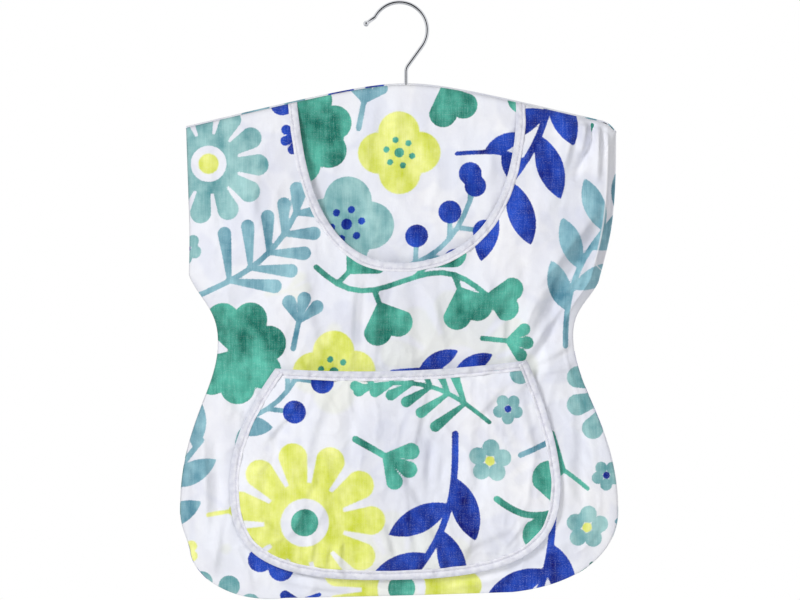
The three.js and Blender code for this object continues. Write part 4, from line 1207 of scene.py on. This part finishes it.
# How far in from its seam it follows the front's folds, and where its own begin
FOLLOWS_FRONT, POCKET_SLACKENS = 26 * MM, mm(2, 16)
POCKET_PITCH, POCKET_UP = mm(1.4, 180)
POCKET_CORNER = 0.33
POCKET_WRINKLES = ((crinkle, 1.6, 30, 60, 31.4), (crinkle, 1.1, 11, 26, 32.8),
                   (creases, 1.4, 22, 38, 33.7), (creases, 0.7, 12, 18, 34.9))
POCKET_FOLDS = (
    # The long fold down the middle, and those that cross it
    ((4, -384), (26, -300), 7, 3.6, 2.4), ((10, -446), (2, -372), 6, 3.0, 2.2),
    ((30, -436), (0, -372), 6, 2.8, 2.0), ((5, -390), (11, -350), 3.6, -3.0, 1),
    ((23, -388), (28, -346), 3.6, -2.8, 1), ((33, -392), (37, -362), 3.2, -2.4, 1),
    ((52, -404), (60, -320), 8, 2.2, 1.8), ((-14, -396), (-6, -350), 5, 2.0, 1.8),
    # The left, and what the tape pulls in at the sides
    ((-108, -350), (-74, -312), 6, 3.0, 2.2), ((-84, -384), (-52, -300), 9, 2.8, 1.8),
    ((-42, -380), (-30, -298), 6, -2.2, 1), ((-78, -398), (-64, -368), 6, 2.6, 2.0),
    ((-92, -424), (-118, -404), 5, 2.6, 2.0), ((-86, -424), (-74, -396), 5, 2.4, 2.0),
    ((-112, -402), (-92, -326), 5, -2.4, 1), ((112, -380), (100, -318), 6, 2.0, 1.8),
    ((58, -336), (94, -298), 6, 2.6, 2.0),
    # The bottom, eased into the curve
    ((-72, -452), (-68, -424), 4, 2.4, 2.0), ((-60, -453), (-56, -428), 3.5, 2.2, 2.0),
    ((-48, -454), (-46, -424), 3.5, 2.2, 2.0), ((-34, -454), (-34, -430), 3.5, -1.6, 1),
    ((-4, -452), (-14, -410), 5, 2.6, 2.0), ((28, -446), (94, -416), 7, 2.6, 1.8),
    ((50, -450), (62, -412), 4, 2.0, 1.8), ((84, -436), (104, -410), 4, 2.0, 1.8))
# Where painted shade greys the pocket: a place in millimetres, a reach across and up, and a share
POCKET_PAINTED_SHADE = (4, -370, 40, 62, 1.2), (-70, -392, 30, 36, 0.4), (46, -430, 56, 20, 0.5)

pocket_left, pocket_right = (POCKET_LEFT, POCKET_SIDE_Z), (POCKET_RIGHT, POCKET_SIDE_Z)
pocket_low = (POCKET_MIDDLE, POCKET_LOW_Z)
pocket_line = joined(
    bezier(MOUTH_LEFT, LEFT_EDGE_BOW, (POCKET_LEFT, EDGE_EASE_Z), pocket_left),
    bezier(pocket_left, (POCKET_LEFT, EDGE_TURN_Z), (LOW_LEFT_X, POCKET_LOW_Z), pocket_low),
    bezier(pocket_low, (LOW_RIGHT_X, POCKET_LOW_Z), (POCKET_RIGHT, EDGE_TURN_Z), pocket_right),
    bezier(pocket_right, (RIGHT_EASE_X, EDGE_EASE_Z), RIGHT_EDGE_BOW, MOUTH_RIGHT))
mouth_share = np.linspace(0, 1, 41)[:, None]
mouth_line = np.array(MOUTH_LEFT) * (1 - mouth_share) + np.array(MOUTH_RIGHT) * mouth_share
mouth_line = mouth_line - (0, 4 * MOUTH_SAG) * mouth_share * (1 - mouth_share)


def pocket_y(x, z):
    """The pocket's surface: on the front where it is sewn, and off it inside and at its bound edge."""
    sewn = nearest(pocket_line, x, z)[0]
    edge = np.minimum(sewn, nearest(mouth_line, x, z)[0])
    rise = EDGE_RISE * np.clip(1 - edge / (TAPE_WIDTH - STITCH_IN), 0, 1)
    for corner, height, reach in PROUD_CORNERS:
        away = np.hypot(x - corner[0], z - corner[1]) / reach
        rise = rise + height * np.exp(-away ** 2)
    raised = wrinkled(x, z, POCKET_WRINKLES) + folded(x, z, POCKET_FOLDS)
    below = front_base(x, z) - front_folds(x, z) * (1 - smoothstep(sewn, 0, FOLLOWS_FRONT))
    reach = POCKET_REACH + (POCKET_FLAT_REACH - POCKET_REACH) * smoothstep(x, *REACH_ACROSS)
    gape = POCKET_GAPE - POCKET_FLATTER * smoothstep(x, *FLATTER_ACROSS)
    return below - SEWN_GAP - gape * filled(sewn, reach) - raised * smoothstep(sewn, *POCKET_SLACKENS) - rise


pocket_cut = moved(pocket_line, RAW_EDGE)
pocket_shares = np.linspace(0, 1, 141)
low_shares = pocket_shares[(pocket_shares >= POCKET_CORNER) & (pocket_shares <= 1 - POCKET_CORNER)]
x, z = loft(
    spaced(pocket_cut, low_shares),
    mouth_line * (MOUTH_CUT_SHARE, 1) - (0, RAW_EDGE),
    spaced(pocket_cut, np.linspace(POCKET_CORNER, 0, 41)),
    spaced(pocket_cut, np.linspace(1 - POCKET_CORNER, 1, 41)),
    np.linspace(0, 1, round((POCKET_RIGHT - POCKET_LEFT) / POCKET_PITCH) + 1),
    np.linspace(0, 1, round(POCKET_UP / POCKET_PITCH) + 1))
pocket = cloth_grid("pocket_cloth", hung(x, pocket_y(x, z), z), x, z)
print_cloth(pocket, x, z, POCKET_CUT, FRONT_CUT, POCKET_PAINTED_SHADE)
thicken(pocket, CLOTH_THICKNESS)
pocket.data.materials.append(printed_cotton)
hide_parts("pocket_panel")
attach(pocket, "bag")


# Binding of the pocket's mouth
# The same bias tape, folded over the pocket's top edge and sewn in one row. Its ends are caught under
# the tape that goes round the sides.
MOUTH_SEWN_SHARE = 0.9
mouth_tape = folded_tape("pocket_mouth_tape", mouth_line, -1, pocket_y, 41.7)
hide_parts("pocket_mouth_binding")
sewn_row("pocket_mouth_stitching", mouth_line * (MOUTH_SEWN_SHARE, 1), -1, pocket_y)


# Binding of the pocket's sides and bottom
# The same tape folded over the rest of the pocket's edge. One row of stitches sews it to the pocket
# and the pocket to the front, and its two cut ends lie over those of the mouth's tape.
LAP_HEIGHT, LAP_ENDS = 0.7 * MM, mm(7, 16)


def over_mouth(run, length):
    """Lift the tape's ends over the mouth's tape."""
    return LAP_HEIGHT * (1 - smoothstep(np.minimum(run, length - run), *LAP_ENDS))


edge_tape = folded_tape("pocket_edge_tape", pocket_line, 1, pocket_y, 51.2, over_mouth)
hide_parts("pocket_edge_binding")
sewn_row("pocket_edge_stitching", pocket_line, 1, pocket_y)


# Studio
# A pale floor below the hanging bag, a white surround that the camera and the chrome see, and soft
# light from the upper left, with the camera straight in front. Sizes are in metres.
FLOOR_Z, FLOOR_RADIUS = -0.62, 1.4
FADE_START, FADE_END = 0.5, 1.35
CARD_MIDDLE, CARD_WIDTH, CARD_HEIGHT = (0, -3.4, 0), 3.6, 9
SURROUND_LIGHT = 0.235
CAMERA_DISTANCE = 3.0
CAMERA_SENSOR_MM = 36
VIEW_WIDTH = 0.64
VIEW_X, VIEW_Z = mm(-0.4, -236.6)
BAG_MIDDLE = Vector((0, 0, -0.25))
# Each lamp's name, place, size and power in watts
LAMPS = (("key", (-3.5, -4.6, 2.6), 1.75, 217), ("fill", (0.6, -2.7, 0.2), 1.5, 17),
         ("back", (2.6, 3.4, 1.6), 1.4, 128))

bpy.ops.object.select_all(action="DESELECT")
bpy.ops.mesh.primitive_circle_add(
    vertices=96, radius=FLOOR_RADIUS, fill_type="NGON", location=(0, 0, FLOOR_Z))
floor = bpy.context.object
floor.name = "studio_floor"
bpy.ops.object.transform_apply(location=True, rotation=True, scale=True)
# Matt white painted board, which fades into the surround at its edge
board, tree = new_material("matt_white_board")
place = add_node(tree, "ShaderNodeTexCoord").outputs["Object"]
level = add_node(tree, "ShaderNodeMapping", {"Vector": place, "Location": (0, 0, -FLOOR_Z)})
reach = add_node(tree, "ShaderNodeVectorMath", {0: level}, operation="LENGTH").outputs["Value"]
fade = add_node(tree, "ShaderNodeMapRange", {
    "Value": reach, "From Min": FADE_START, "From Max": FADE_END}, interpolation_type="SMOOTHSTEP")
paint = add_node(tree, "ShaderNodeBsdfPrincipled", {
    "Base Color": linear("#F4F4F4"), "Roughness": 0.9, "Specular IOR Level": 0.1})
white = add_node(tree, "ShaderNodeEmission", {"Color": linear("#FFFFFF"), "Strength": 1.0})
both = add_node(tree, "ShaderNodeMixShader", {0: fade, 1: paint, 2: white})
add_node(tree, "ShaderNodeOutputMaterial", {"Surface": both})
floor.data.materials.append(board)

# A dark card behind the camera, which only the chrome sees
bpy.ops.mesh.primitive_plane_add(size=1, location=CARD_MIDDLE, rotation=(math.pi / 2, 0, 0))
card = bpy.context.object
card.name = "dark_card"
bpy.ops.transform.resize(value=(CARD_WIDTH, 1, CARD_HEIGHT), center_override=CARD_MIDDLE)
bpy.ops.object.transform_apply(location=True, rotation=True, scale=True)
# Matt black paper
black, tree = new_material("black_card")
paint = add_node(tree, "ShaderNodeBsdfPrincipled", {"Base Color": linear("#2A2B30"), "Roughness": 0.9})
add_node(tree, "ShaderNodeOutputMaterial", {"Surface": paint})
card.data.materials.append(black)
for ray in ("camera", "diffuse", "transmission", "volume_scatter", "shadow"):
    setattr(card, f"visible_{ray}", False)

world = bpy.data.worlds.new("white_surround")
bpy.context.scene.world = world
world.use_nodes = True
tree = world.node_tree
tree.nodes.clear()
rays = add_node(tree, "ShaderNodeLightPath").outputs
seen = add_node(tree, "ShaderNodeMath", {
    0: rays["Is Camera Ray"], 1: rays["Is Glossy Ray"]}, operation="MAXIMUM")
seen = add_node(tree, "ShaderNodeMath", {0: seen, 1: rays["Is Transmission Ray"]}, operation="MAXIMUM")
light = add_node(tree, "ShaderNodeMapRange", {"Value": seen, "To Min": SURROUND_LIGHT, "To Max": 1.0})
surround = add_node(tree, "ShaderNodeBackground", {"Color": linear("#FFFFFF"), "Strength": light})
add_node(tree, "ShaderNodeOutputWorld", {"Surface": surround})

for name, place, size, power in LAMPS:
    bpy.ops.object.light_add(type="AREA", location=place)
    lamp = bpy.context.object
    lamp.name = name
    lamp.data.size = size
    lamp.data.energy = power
    lamp.visible_glossy = False
    lamp.rotation_euler = (BAG_MIDDLE - Vector(place)).to_track_quat("-Z", "Y").to_euler()

bpy.ops.object.camera_add(location=(VIEW_X, -CAMERA_DISTANCE, VIEW_Z), rotation=(math.pi / 2, 0, 0))
camera = bpy.context.object
camera.data.sensor_width = CAMERA_SENSOR_MM
camera.data.lens = CAMERA_SENSOR_MM * CAMERA_DISTANCE / VIEW_WIDTH
bpy.context.scene.camera = camera
bpy.context.scene.view_settings.view_transform = "Standard"
